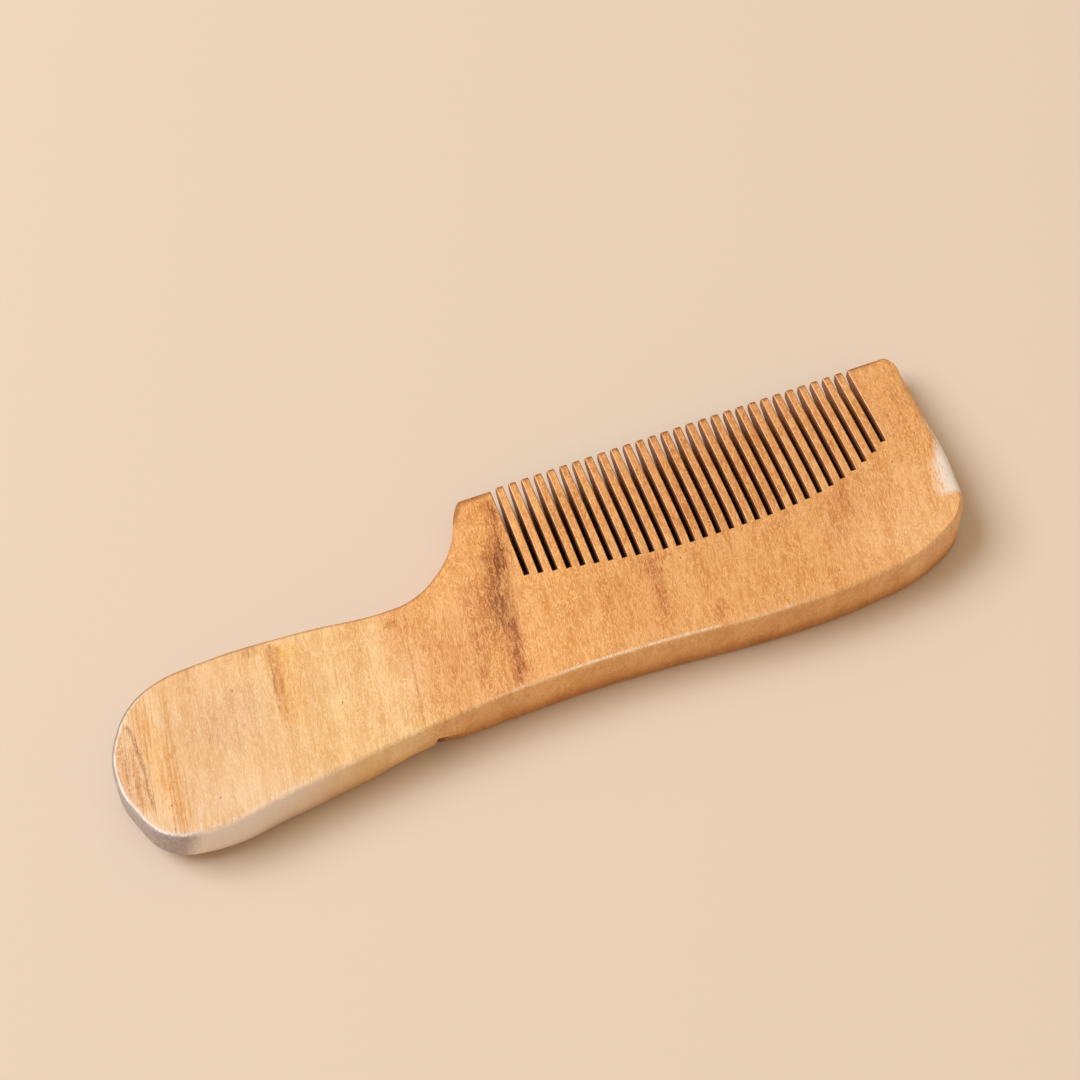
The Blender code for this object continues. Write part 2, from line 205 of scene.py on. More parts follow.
@dataclass(frozen=True)
class CombSizes:
    """The sizes of the comb. Shares are parts of the length, the head or the handle that they belong to."""

    length: float = 172.0 * MM
    handle_length: float = 59.2 * MM
    head_depth: float = 48.5 * MM
    handle_width: float = 34.6 * MM
    handle_offset: float = 36.05 * MM
    thickness: float = 11.5 * MM

    taper_length: float = 25.0 * MM
    taper_power: float = 1.15
    tip_thickness: float = 2.95 * MM
    nose_length: float = 1.0 * MM
    nose_flat: float = 1.2 * MM
    end_thinning: float = 2.6 * MM
    thinned_length: float = 30.0 * MM
    thinning_power: float = 1.5

    tooth_pitch: float = 2.686 * MM
    inner_guard_width: float = 7.79 * MM
    outer_guard_width: float = 10.4 * MM
    kerf_width: float = 1.15 * MM
    mouth_width: float = 1.25 * MM
    tip_gap: float = 1.85 * MM
    slimmed_length: float = 8.0 * MM
    tip_round_length: float = 0.5 * MM
    first_kerf_lean: float = radians(3.3)
    last_kerf_lean: float = radians(1.9)
    lean_place: float = 13.7 * MM
    deepest_kerf: float = 28.1 * MM
    inner_kerf_fall: float = 4.6 * MM
    outer_kerf_fall: float = 8.0 * MM
    deepest_place: float = 0.43
    inner_fall_power: float = 1.4
    outer_fall_power: float = 3.7

    face_round: float = 0.9 * MM
    end_face_round: float = 2.4 * MM
    crisp_turn: float = radians(38.0)
    crisp_growth: float = 2.0
    crisp_from_y: float = -9.3 * MM
    crisp_fade: float = 1.5 * MM
    largest_under_round: float = 4.6 * MM
    palm_fade: float = 12.0 * MM
    tip_fade: float = 20.0 * MM
    inner_corner_round: float = 1.5 * MM
    outer_corner_round: float = 1.8 * MM
    inner_tip_drop: float = 0.6 * MM
    tips_rise: float = 0.8 * MM

    nick_length: float = 8.0 * MM
    nick_depth: float = 1.5 * MM
    nick_height: float = 5.6 * MM
    nick_tilt: float = radians(22.0)

    handle_shares: tuple = (
        (0.50, -0.885), (0.225, -1.0), (0.094, -0.885), (0.024, -0.50), (0.0, -0.065),
        (0.042, 0.425), (0.168, 0.865), (0.395, 1.0), (0.695, 0.965),
    )
    waist_shares: tuple = (-0.660, 0.868)
    back_shares: tuple = (
        (0.245, 0.9487), (0.40, 0.9595), (0.61, 0.993), (0.775, 0.984), (0.904, 0.9265),
        (0.9755, 0.8130), (0.9940, 0.6267), (0.9962, 0.284), (0.9967, 0.138),
    )
    outer_corner_share: float = 0.9960
    inner_corner_share: float = 0.1702
    shoulder_shares: tuple = ((0.1627, 0.0921), (0.1366, 0.2279), (0.0780, 0.3706), (0.0350, 0.4205))
    under_round_shares: tuple = (
        (0.0, 0.74), (0.05, 0.72), (0.10, 0.63), (0.18, 0.51), (0.23, 0.46), (0.27, 0.54),
        (0.29, 0.78), (0.316, 1.0), (0.343, 1.0), (0.37, 0.46), (0.46, 0.22), (1.0, 0.22),
    )
    face_round_shares: tuple = ((0.0, 0.4), (0.06, 0.3), (0.12, 0.0), (0.86, 0.0), (0.95, 1.0), (1.0, 1.0))

    @property
    def width(self) -> float:
        """The width over the handle's back and the tooth tips."""
        return self.handle_offset + self.handle_width / 2

    @property
    def handle_end_x(self) -> float:
        """The handle's end along the comb."""
        return -self.length / 2

    @property
    def waist_x(self) -> float:
        """The waist, where handle and head meet."""
        return self.handle_end_x + self.handle_length

    @property
    def head_length(self) -> float:
        """The head's length, from the waist to the heel."""
        return self.length - self.handle_length

    @property
    def tips_y(self) -> float:
        """The line of the tooth tips."""
        return self.width / 2

    @property
    def handle_y(self) -> float:
        """The handle's centre line."""
        return self.tips_y - self.handle_offset

    @property
    def inner_corner_x(self) -> float:
        """The corner of the guard tooth beside the handle."""
        return self.waist_x + self.inner_corner_share * self.head_length

    @property
    def outer_corner_x(self) -> float:
        """The corner of the guard tooth at the heel."""
        return self.waist_x + self.outer_corner_share * self.head_length

    @property
    def first_kerf_x(self) -> float:
        """The middle of the first kerf."""
        return self.inner_corner_x + self.inner_guard_width

    @property
    def kerf_count(self) -> int:
        """How many kerfs the row has."""
        return int((self.length / 2 - self.outer_guard_width - self.first_kerf_x) / self.tooth_pitch) + 1

    @property
    def row_start_x(self) -> float:
        """Where the row of fine teeth's tips starts, past the inner guard tooth."""
        return self.first_kerf_x + self.tip_gap

    @property
    def row_end_x(self) -> float:
        """Where the row of tips ends, at the heel's corner."""
        return self.outer_corner_x - self.outer_corner_round

    @property
    def tips_slope(self) -> float:
        """How much the row of tips rises for its length."""
        return self.tips_rise / (self.row_end_x - self.row_start_x)

    def kerf_lean(self, number: float) -> float:
        """Return the angle at which kerf 0, 1, 2... leans towards the heel."""
        return lerp(self.first_kerf_lean, self.last_kerf_lean, number / (self.kerf_count - 1))

    def kerf_x(self, number: float, y: float) -> float:
        """Return where the middle of kerf 0, 1, 2... is along the comb.

        Args:
            number: The kerf, counted from the handle. Halves are the middles of the teeth.
            y: The place across the comb.

        Returns:
            Its x there.
        """
        shift = (y - self.tips_y + self.lean_place) * tan(self.kerf_lean(number))
        return self.first_kerf_x + number * self.tooth_pitch + shift

    def kerf_end_y(self, number: float) -> float:
        """Return how far down a kerf ends.

        Args:
            number: The kerf, counted from the handle.

        Returns:
            The y of its square end.
        """
        place = number / (self.kerf_count - 1) - self.deepest_place
        if place < 0:
            fall = self.inner_kerf_fall * (-place / self.deepest_place) ** self.inner_fall_power
        else:
            fall = self.outer_kerf_fall * (place / (1 - self.deepest_place)) ** self.outer_fall_power
        return self.tips_y - self.deepest_kerf + fall

    def planed_share(self, x: float, y: float) -> float:
        """Return the share of the thickness that the planed wedge and its nose leave.

        Args:
            x: The place along the comb.
            y: The place across the comb.

        Returns:
            The share, 1 below the wedge.
        """
        y += self.tips_slope * (self.row_end_x - x)
        tip_share = self.tip_thickness / self.thickness
        flat_share = self.nose_flat / self.thickness
        nose_y = self.tips_y - self.nose_length
        if y <= nose_y:
            part = clamp((y - self.tips_y + self.taper_length) / (self.taper_length - self.nose_length))
            return 1 - (1 - tip_share) * part ** self.taper_power
        run = clamp((y - nose_y) / self.nose_length)
        return flat_share + (tip_share - flat_share) * sqrt(max(1 - run * run, 0))

    def thinned_lift(self, x: float) -> float:
        """Return how far the lower face is planed off near the handle's end."""
        part = clamp((x - self.handle_end_x) / self.thinned_length)
        return self.end_thinning * (1 - part) ** self.thinning_power


@dataclass
class CombBoard:
    """The sawn and sanded board, before its kerfs are cut."""

    sizes: CombSizes
    outline_steps: int = 12
    round_steps: int = 6
    wall_steps: int = 3
    grid_rows: int = 24
    nose_rows: int = 7
    scores_before: int = 32
    scores_after: int = 3
    score_gap: float = 1e-7
    flat_normal: float = 0.9999
    key_scale: float = 1e7
    slow_waves: float = 160.0
    quick_waves: float = 700.0
    quick_shift: tuple = (3.0, 1.0, 7.0)
    upper_slow_share: float = 0.16
    upper_quick_share: float = 0.13
    lower_slow_share: float = 0.10
    outline: list[Vector] = field(default_factory=list)

    def knots(self) -> list[tuple[float, float, float]]:
        """Return the outline's knots, clockwise from the waist round the handle and the head.

        Returns:
            Rows of x, y and how far a knot pulls the outline along the row of tips, 0 for a free one.
        """
        size = self.sizes
        half_width = size.handle_width / 2
        waist_low, waist_high = size.waist_shares
        knots = [(size.waist_x, size.handle_y + waist_low * half_width, 0.0)]
        for along, across in size.handle_shares:
            x = size.handle_end_x + along * size.handle_length
            knots.append((x, size.handle_y + across * half_width, 0.0))
        knots.append((size.waist_x, size.handle_y + waist_high * half_width, 0.0))
        for along, down in reversed(size.shoulder_shares):
            knots.append((size.waist_x + along * size.head_length, size.tips_y - down * size.head_depth, 0.0))
        inner, outer = size.inner_corner_round, size.outer_corner_round
        start_y = size.tips_y - size.tips_rise
        inner_tip_y = start_y - size.inner_tip_drop
        tip_start_x = size.inner_corner_x + inner
        tip_start_y = inner_tip_y - size.tips_slope * (size.first_kerf_x - tip_start_x)
        knots.append((size.inner_corner_x, tip_start_y - inner, 0.0))
        knots.append((tip_start_x, tip_start_y, inner / 2))
        knots.append((size.first_kerf_x, inner_tip_y, size.tip_gap / 4))
        knots.append((size.row_start_x, start_y, size.tip_gap / 4))
        knots.append((size.row_end_x, size.tips_y, outer / 2))
        knots.append((size.outer_corner_x, size.tips_y - outer, 0.0))
        for along, down in reversed(size.back_shares):
            knots.append((size.waist_x + along * size.head_length, size.tips_y - down * size.head_depth, 0.0))
        return knots

    def draw_outline(self, name: str) -> Piece:
        """Draw the outline as a curve and turn it into a ring of edges.

        Args:
            name: The piece's name.

        Returns:
            The mesh object, an open ring.
        """
        curve = bpy.data.curves.new(name, "CURVE")
        curve.dimensions = "2D"
        curve.fill_mode = "NONE"
        curve.resolution_u = self.outline_steps
        spline = curve.splines.new("BEZIER")
        knots = self.knots()
        spline.bezier_points.add(len(knots) - 1)
        for knot, (x, y, reach) in zip(spline.bezier_points, knots):
            knot.handle_left_type = "FREE" if reach else "AUTO"
            knot.handle_right_type = knot.handle_left_type
            knot.co = (x, y, 0)
            knot.handle_left = (x - reach, y - reach * self.sizes.tips_slope, 0)
            knot.handle_right = (x + reach, y + reach * self.sizes.tips_slope, 0)
        spline.use_cyclic_u = True
        Bench.take(Bench.add(name, curve))
        bpy.ops.object.convert(target="MESH")
        piece = bpy.context.view_layer.objects.active
        self.outline = [vertex.co.copy() for vertex in piece.data.vertices]
        return piece

    def edge_radii(self, point: Vector) -> tuple[float, float]:
        """Tell how far the edges are rounded at a point of the outline.

        Args:
            point: The place on the outline.

        Returns:
            The radii of the lower and the upper edge, a little uneven as by hand.
        """
        size = self.sizes
        along = (point.x - size.handle_end_x) / size.length
        worn = size.largest_under_round * read_shares(size.under_round_shares, along)
        palm_share = clamp((size.handle_y - point.y) / size.palm_fade + 0.5)
        lower = lerp(size.face_round, worn, palm_share)
        end_share = read_shares(size.face_round_shares, along)
        end_share *= min((size.tips_y - point.y) / size.tip_fade, 1)
        upper = lerp(size.face_round, size.end_face_round, end_share)
        slow = noise.noise(point * self.slow_waves)
        quick = noise.noise(point * self.quick_waves + Vector(self.quick_shift))
        upper *= 1 + self.upper_slow_share * slow + self.upper_quick_share * quick
        lower *= 1 + self.lower_slow_share * slow
        return lower, upper

    def crisp_start(self, point: Vector) -> float:
        """Tell at which angle the upper round meets the face, 0 where it runs into it smoothly.

        Args:
            point: The place on the outline.

        Returns:
            The angle.
        """
        size = self.sizes
        along = (point.x - size.handle_end_x) / size.length
        share = clamp(size.crisp_growth * read_shares(size.face_round_shares, along))
        below = clamp((size.crisp_from_y - point.y) / size.crisp_fade)
        return size.crisp_turn * share * (1.0 if point.x < 0 else below)

    def edge_profile(self, point: Vector, inward: Vector) -> list[Vector]:
        """Return the places down the board's edge at a point, from the lower face to the upper one.

        Args:
            point: The place on the outline.
            inward: The direction into the board.

        Returns:
            One place for each ring of the board's edge.
        """
        half = self.sizes.thickness / 2
        lower, upper = self.edge_radii(point)
        turns = [pi / 2 * step / self.round_steps for step in range(self.round_steps + 1)]
        places = []
        for turn in turns:
            place = point + inward * lower * (1 - sin(turn))
            place.z = lower * (1 - cos(turn)) - half
            places.append(place)
        start = self.crisp_start(point)
        wall_top = half - upper * cos(start)
        for step in range(1, self.wall_steps):
            place = point.copy()
            place.z = lerp(lower - half, wall_top, step / self.wall_steps)
            places.append(place)
        for step in reversed(range(self.round_steps + 1)):
            turn = lerp(start, pi / 2, step / self.round_steps)
            place = point + inward * upper * (1 - sin(turn))
            place.z = wall_top + upper * cos(turn)
            places.append(place)
        return places

    def key(self, point: Vector) -> tuple[int, int]:
        """Return a place in plan as whole numbers, by which it is found again."""
        return round(point.x * self.key_scale), round(point.y * self.key_scale)

    def raise_rings(self, piece: Piece) -> None:
        """Fill the outline, extrude it ring by ring and sand the edges to their profile.

        Args:
            piece: The ring of edges.
        """
        ring_count = 2 * (self.round_steps + 1) + self.wall_steps - 1
        step = self.sizes.thickness / (ring_count - 1)
        Bench.take(piece)
        bpy.ops.object.mode_set(mode="EDIT")
        bpy.ops.mesh.select_mode(type="VERT")
        bpy.ops.mesh.select_all(action="SELECT")
        bpy.ops.mesh.edge_face_add()
        bpy.ops.mesh.select_mode(type="FACE")
        for _ in range(ring_count - 1):
            bpy.ops.mesh.extrude_region_move(TRANSFORM_OT_translate={"value": (0, 0, step)})
        bpy.ops.object.mode_set(mode="OBJECT")
        following = self.outline[1:] + self.outline[:1]
        previous = self.outline[-1:] + self.outline[:-1]
        places = {}
        for point, after, before in zip(self.outline, following, previous):
            course = (after - before).normalized()
            places[self.key(point)] = self.edge_profile(point, Vector((course.y, -course.x, 0)))
        for vertex in piece.data.vertices:
            vertex.co = places[self.key(vertex.co)][round(vertex.co.z / step)]

    def score_lines(self) -> list[tuple[tuple, tuple]]:
        """Return where the faces are scored, so that they can bend and take fine marks.

        Returns:
            Planes as a place and a direction. In the row of teeth they fall between the kerfs.
        """
        size = self.sizes
        lines = []
        middle_y = size.tips_y - size.lean_place
        for number in range(-self.scores_before, size.kerf_count + self.scores_after):
            lean = size.kerf_lean(clamp(number, 0, size.kerf_count - 1))
            x = size.first_kerf_x + (number - 0.5) * size.tooth_pitch
            lines.append(((x, middle_y, 0), (cos(lean), -sin(lean), 0)))
        nose_y = size.tips_y - size.nose_length
        far_y = size.tips_y - size.width
        rows = [lerp(nose_y, far_y, step / self.grid_rows) for step in range(self.grid_rows)]
        for step in range(1, self.nose_rows):
            rows.append(nose_y + size.nose_length * sin(pi / 2 * step / self.nose_rows))
        return lines + [((size.row_end_x, y, 0), (-size.tips_slope, 1, 0)) for y in rows]

    def score_faces(self, piece: Piece) -> None:
        """Score both flat faces in a grid.

        Args:
            piece: The board.
        """
        with Bench.editing(piece):
            for place, direction in self.score_lines():
                Bench.pick_faces(piece, lambda face: abs(face.normal.z) > self.flat_normal)
                bpy.ops.mesh.bisect(plane_co=place, plane_no=direction, threshold=self.score_gap)

    def plane_faces(self, piece: Piece) -> None:
        """Plane both faces down towards the tips, and the lower one up towards the handle's end.

        Args:
            piece: The board, centred on its own middle plane.
        """
        size = self.sizes
        for vertex in piece.data.vertices:
            depth_share = 0.5 - vertex.co.z / size.thickness
            lift = depth_share * size.thinned_lift(vertex.co.x)
            share = size.planed_share(vertex.co.x, vertex.co.y)
            vertex.co.z = vertex.co.z * share + lift + size.thickness / 2

    def build(self, name: str) -> Piece:
        """Make the board.

        Args:
            name: The piece's name.

        Returns:
            A closed mesh object, lying on the ground.
        """
        piece = self.draw_outline(name)
        self.raise_rings(piece)
        self.score_faces(piece)
        self.plane_faces(piece)
        with Bench.editing(piece):
            bpy.ops.mesh.select_all(action="SELECT")
            bpy.ops.mesh.quads_convert_to_tris()
            bpy.ops.mesh.normals_make_consistent(inside=False)
        log.info("board: %d faces", len(piece.data.polygons))
        return piece


@dataclass
class KerfSaw:
    """The gang of saws: one flared cutter for each kerf."""

    sizes: CombSizes
    straight_rows: int = 9
    slimmed_rows: int = 4
    tip_rows: int = 6
    flare_steps: int = 4
    root_flare: float = 0.11 * MM
    tip_flare: float = 0.20 * MM
    wander: float = 0.06 * MM
    wander_per_kerf: float = 1.7
    wander_per_metre: float = 60.0
    wander_level: float = 0.3
    overrun: float = 2.0 * MM

    def row_places(self, end_y: float) -> list[float]:
        """Return the rows of a cutter across the comb.

        Args:
            end_y: Where the kerf ends.

        Returns:
            The y places, from the square end to beyond the mouth.
        """
        size = self.sizes
        slim_y = size.tips_y - size.slimmed_length
        nose_y = size.tips_y - size.nose_length
        rows = [lerp(end_y, slim_y, step / self.straight_rows) for step in range(self.straight_rows)]
        rows += [lerp(slim_y, nose_y, step / self.slimmed_rows) for step in range(self.slimmed_rows)]
        for step in range(self.tip_rows + 1):
            rows.append(nose_y + size.nose_length * sin(pi / 2 * step / self.tip_rows))
        return rows + [size.tips_y + self.overrun]

    def half_width(self, y: float) -> float:
        """Return half the kerf's width between the flat sides of two teeth.

        Args:
            y: The place across the comb.

        Returns:
            Half the gap, wider where the teeth are slimmed and round in plan.
        """
        size = self.sizes
        slim = clamp((y - size.tips_y + size.slimmed_length) / (size.slimmed_length - size.tip_round_length))
        tip = clamp((y - size.tips_y + size.tip_round_length) / size.tip_round_length)
        half = lerp(size.kerf_width, size.mouth_width, slim) / 2
        return half + (size.tip_gap - size.mouth_width) / 2 * (1 - sqrt(max(1 - tip * tip, 0)))

    def levels(self, x: float, y: float) -> list[tuple[float, float]]:
        """Return the cutter's section at a row, from below the comb to above it.

        Args:
            x: The place along the comb.
            y: The place across the comb.

        Returns:
            Rows of height and flare beyond the kerf's half width.
        """
        size = self.sizes
        share = size.planed_share(x, y)
        low = size.thickness / 2 * (1 - share)
        high = size.thickness - low
        part = clamp((y - size.tips_y + size.deepest_kerf) / size.deepest_kerf)
        flare = lerp(self.root_flare, self.tip_flare, part ** 2)
        turns = [pi / 2 * step / self.flare_steps for step in range(self.flare_steps + 1)]
        section = [(-self.overrun, flare)]
        section += [(low + flare * sin(turn), flare * (1 - cos(pi / 2 - turn))) for turn in turns]
        section += [(high - flare * sin(turn), flare * (1 - cos(pi / 2 - turn))) for turn in reversed(turns)]
        section.append((size.thickness + self.overrun, flare))
        return section

    def blank(self) -> Piece:
        """Make the block that every cutter is shaped from, cut into its rows and levels.

        Returns:
            A block whose x is 0 or 1, and whose y and z count its rows and levels.
        """
        row_count = len(self.row_places(0.0))
        level_count = len(self.levels(0.0, 0.0))
        centre = (0.5, (row_count - 1) / 2, (level_count - 1) / 2)
        bpy.ops.mesh.primitive_cube_add(size=1, location=centre)
        block = bpy.context.view_layer.objects.active
        block.name = "kerf_blank"
        bpy.ops.object.transform_apply(location=True, rotation=False, scale=False)
        with Bench.editing(block):
            bpy.ops.mesh.select_all(action="SELECT")
            bpy.ops.transform.resize(value=(1, row_count - 1, level_count - 1), center_override=centre)
            for row in range(1, row_count - 1):
                bpy.ops.mesh.select_all(action="SELECT")
                bpy.ops.mesh.bisect(plane_co=(0, row, 0), plane_no=(0, 1, 0))
            for level in range(1, level_count - 1):
                bpy.ops.mesh.select_all(action="SELECT")
                bpy.ops.mesh.bisect(plane_co=(0, 0, level), plane_no=(0, 0, 1))
        return block

    def cutter(self, blank: Piece, number: int) -> Piece:
        """Shape a copy of the blank to one kerf.

        Args:
            blank: The block cut into rows and levels.
            number: The kerf, counted from the handle.

        Returns:
            The cutter, a closed mesh object.
        """
        size = self.sizes
        end_y = size.kerf_end_y(number)
        rows = self.row_places(end_y)
        mesh = blank.data.copy()
        for vertex in mesh.vertices:
            row = round(vertex.co.y)
            y = rows[row]
            middle = size.kerf_x(number, y)
            height, flare = self.levels(middle, y)[round(vertex.co.z)]
            waver = Vector((number * self.wander_per_kerf, y * self.wander_per_metre, self.wander_level))
            stray = self.wander * noise.noise(waver)
            half = self.half_width(y) + flare
            side = 1 if vertex.co.x > 0.5 else -1
            if row == 0:
                y -= flare
            vertex.co = (middle + stray + side * half, y, height)
        return Bench.add(f"kerf_{number:02d}", mesh)

    def cut(self, board: Piece) -> None:
        """Cut every kerf out of the board.

        Args:
            board: The planed board.
        """
        blank = self.blank()
        cutters = [self.cutter(blank, number) for number in range(self.sizes.kerf_count)]
        bpy.data.objects.remove(blank)
        Bench.clear()
        for piece in cutters:
            piece.select_set(True)
        bpy.context.view_layer.objects.active = cutters[0]
        bpy.ops.object.join()
        gang = bpy.context.view_layer.objects.active
        with Bench.editing(gang):
            bpy.ops.mesh.select_all(action="SELECT")
            bpy.ops.mesh.normals_make_consistent(inside=False)
        Bench.subtract(board, gang, "kerfs")
        log.info("kerfs: %d cut, %d faces", self.sizes.kerf_count, len(board.data.polygons))


@dataclass
class SawNick:
    """The small slanted nick in the lower edge beside the waist."""

    sizes: CombSizes
    place: Matrix = field(default_factory=Matrix)
    slack: float = 0.01

    def holds(self, point: Vector) -> bool:
        """Return whether a place lies in the nick or on its walls."""
        across = self.place.inverted() @ point
        return all(-self.slack < part < 1 + self.slack for part in (across.x, -across.y, -across.z))

    def cut(self, board: Piece) -> None:
        """Cut the nick out of the board.

        Args:
            board: The board.
        """
        size = self.sizes
        waist_y = size.handle_y + size.waist_shares[0] * size.handle_width / 2
        bpy.ops.mesh.primitive_cube_add(size=1, location=(0.5, -0.5, -0.5))
        block = bpy.context.view_layer.objects.active
        bpy.ops.object.transform_apply(location=True, rotation=False, scale=False)
        # The block reaches out of the board to the right, outwards and below.
        block.scale = (size.nick_length * 2, size.nick_length, size.nick_height * 2)
        block.location = (size.waist_x, waist_y + size.nick_depth, size.nick_height)
        block.rotation_euler = Euler((0, size.nick_tilt, -size.nick_depth / size.nick_length))
        bpy.context.view_layer.update()
        self.place = block.matrix_world.copy()
        bpy.ops.object.transform_apply(location=True, rotation=True, scale=True)
        Bench.subtract(board, block, "nick")


@dataclass
class SurfaceMap:
    """What the wood's finish needs to know of each place on the comb, kept as mesh attributes.

    rim is the distance from the sawn outline in plan, sunk the depth below the
    upper face, both in millimetres. sawn marks the walls of the kerfs, nicked those
    of the nick, and arris the kerfs' rounded edges: 1 where they face the handle,
    -1 where they face the heel.
    """

    sizes: CombSizes
    outline: list[Vector]
    sample_step: float = 0.25 * MM
    kerf_clearance: float = 0.35 * MM
    row_root_y: float = -4.0 * MM
    wall_turn: float = 0.30
    arris_turns: tuple = (0.10, 0.95)
    arris_rise: float = 0.15

    def outline_tree(self) -> kdtree.KDTree:
        """Return a search tree of close-set places along the outline."""
        places = []
        for start, end in zip(self.outline, self.outline[1:] + self.outline[:1]):
            count = max(int((end - start).length / self.sample_step), 1)
            places += [start.lerp(end, step / count) for step in range(count)]
        tree = kdtree.KDTree(len(places))
        for number, place in enumerate(places):
            tree.insert((place.x, place.y, 0), number)
        tree.balance()
        return tree

    def in_row(self, x: float, y: float) -> bool:
        """Return whether a place is between the walls of the row of kerfs."""
        size = self.sizes
        start = size.kerf_x(0, y) - size.tip_gap
        end = size.kerf_x(size.kerf_count - 1, y) + size.tip_gap
        return y > self.row_root_y and start < x < end

    def write(self, piece: Piece, nick: SawNick) -> None:
        """Measure the piece and store the attributes.

        Args:
            piece: The finished mesh object.
            nick: The nick that was cut into it.
        """
        size = self.sizes
        mesh = piece.data
        tree = self.outline_tree()
        rim = mesh.attributes.new("rim", "FLOAT", "POINT")
        sunk = mesh.attributes.new("sunk", "FLOAT", "POINT")
        for number, vertex in enumerate(mesh.vertices):
            x, y, z = vertex.co
            rim.data[number].value = tree.find((x, y, 0))[2] / MM
            top = size.thickness / 2 * (1 + size.planed_share(x, y))
            sunk.data[number].value = (top - z) / MM
        sawn = mesh.attributes.new("sawn", "FLOAT", "FACE")
        arris = mesh.attributes.new("arris", "FLOAT", "FACE")
        nicked = mesh.attributes.new("nicked", "FLOAT", "FACE")
        for number, face in enumerate(mesh.polygons):
            x, y, _ = face.center
            nicked.data[number].value = 1.0 if nick.holds(face.center) else 0.0
            inside = self.in_row(x, y)
            normal = face.normal
            upright = abs(normal.z) < self.wall_turn and tree.find((x, y, 0))[2] > self.kerf_clearance
            sawn.data[number].value = 1.0 if inside and upright else 0.0
            least, most = self.arris_turns
            turned = inside and least < abs(normal.x) < most and normal.z > self.arris_rise
            arris.data[number].value = (-1.0 if normal.x > 0 else 1.0) if turned else 0.0


@dataclass(frozen=True)
class Layer:
    """A noise: its bumps in each millimetre along x, y and z, and how fine, rough and bent they are."""

    scale: tuple
    detail: float = 2.0
    rough: float = 0.5
    warp: float = 0.0


class Recipe:
    """A node tree that is filled one step at a time."""

    def __init__(self, tree: bpy.types.NodeTree) -> None:
        """Start with a tree."""
        self.tree = tree

    def put(self, socket: Socket, value: Value) -> None:
        """Link a socket to another, or set it."""
        if isinstance(value, Socket):
            self.tree.links.new(value, socket)
        else:
            socket.default_value = value

    def step(self, kind: str, inputs: dict, **settings: object) -> bpy.types.Node:
        """Add a node.

        Args:
            kind: The node's type.
            inputs: What goes into its sockets, by name or number.
            settings: Its own settings.

        Returns:
            The node.
        """
        node = self.tree.nodes.new(kind)
        for name, setting in settings.items():
            setattr(node, name, setting)
        for name, value in inputs.items():
            self.put(node.inputs[name], value)
        return node

    def math(self, operation: str, first: Value, second: Value = 0.0) -> Socket:
        """Return the result of a sum on values."""
        return self.step("ShaderNodeMath", {0: first, 1: second}, operation=operation).outputs[0]

    def times(self, first: Value, *others: Value) -> Value:
        """Return the product of some values."""
        for other in others:
            first = self.math("MULTIPLY", first, other)
        return first

    def plus(self, first: Value, *others: Value) -> Value:
        """Return the sum of some values."""
        for other in others:
            first = self.math("ADD", first, other)
        return first

    def minus(self, first: Value, second: Value) -> Socket:
        """Return the first value less the second."""
        return self.math("SUBTRACT", first, second)

    def swing(self, value: Value, middle: float, reach: Value) -> Value:
        """Return how far a value is off its middle, times a reach."""
        return self.times(self.minus(value, middle), reach)

    def raised(self, share: Value, low: float, rise: float) -> Value:
        """Return low and a share of the rise."""
        return self.plus(self.times(share, rise), low)

    def scaled(self, place: Value, scale: tuple) -> Socket:
        """Return a place stretched along the axes."""
        return self.step("ShaderNodeVectorMath", {0: place, 1: scale}, operation="MULTIPLY").outputs[0]

    def parts(self, place: Value) -> Sockets:
        """Return the three parts of a place or a direction."""
        return self.step("ShaderNodeSeparateXYZ", {0: place}).outputs

    def ease(self, value: Value, low: Value, high: Value) -> Socket:
        """Return 0 below low, 1 above high and a smooth rise between them."""
        inputs = {"Value": value, "From Min": low, "From Max": high}
        return self.step("ShaderNodeMapRange", inputs, interpolation_type="SMOOTHSTEP").outputs[0]

    def fall(self, value: Value, low: Value, high: Value) -> Socket:
        """Return 1 below low, 0 above high and a smooth fall between them."""
        return self.minus(1.0, self.ease(value, low, high))

    def window(self, value: Value, start: float, full: float, fading: float, end: float) -> Value:
        """Return 1 from full to fading, and 0 before the start and after the end."""
        return self.times(self.ease(value, start, full), self.fall(value, fading, end))

    def noise(self, place: Value, layer: Layer) -> Socket:
        """Return a layer of noise over a place."""
        inputs = {
            "Vector": self.scaled(place, layer.scale), "Scale": 1.0, "Detail": layer.detail,
            "Roughness": layer.rough, "Distortion": layer.warp,
        }
        return self.step("ShaderNodeTexNoise", inputs).outputs[0]

    def blend(self, share: Value, first: Value, second: Value, how: str = "MIX") -> Socket:
        """Return two colours blended by a share."""
        inputs = {0: share, 6: first, 7: second}
        return self.step("ShaderNodeMix", inputs, data_type="RGBA", blend_type=how).outputs[2]

    def attribute(self, name: str) -> Socket:
        """Return one of the mesh's own attributes."""
        return self.step("ShaderNodeAttribute", {}, attribute_name=name).outputs["Fac"]


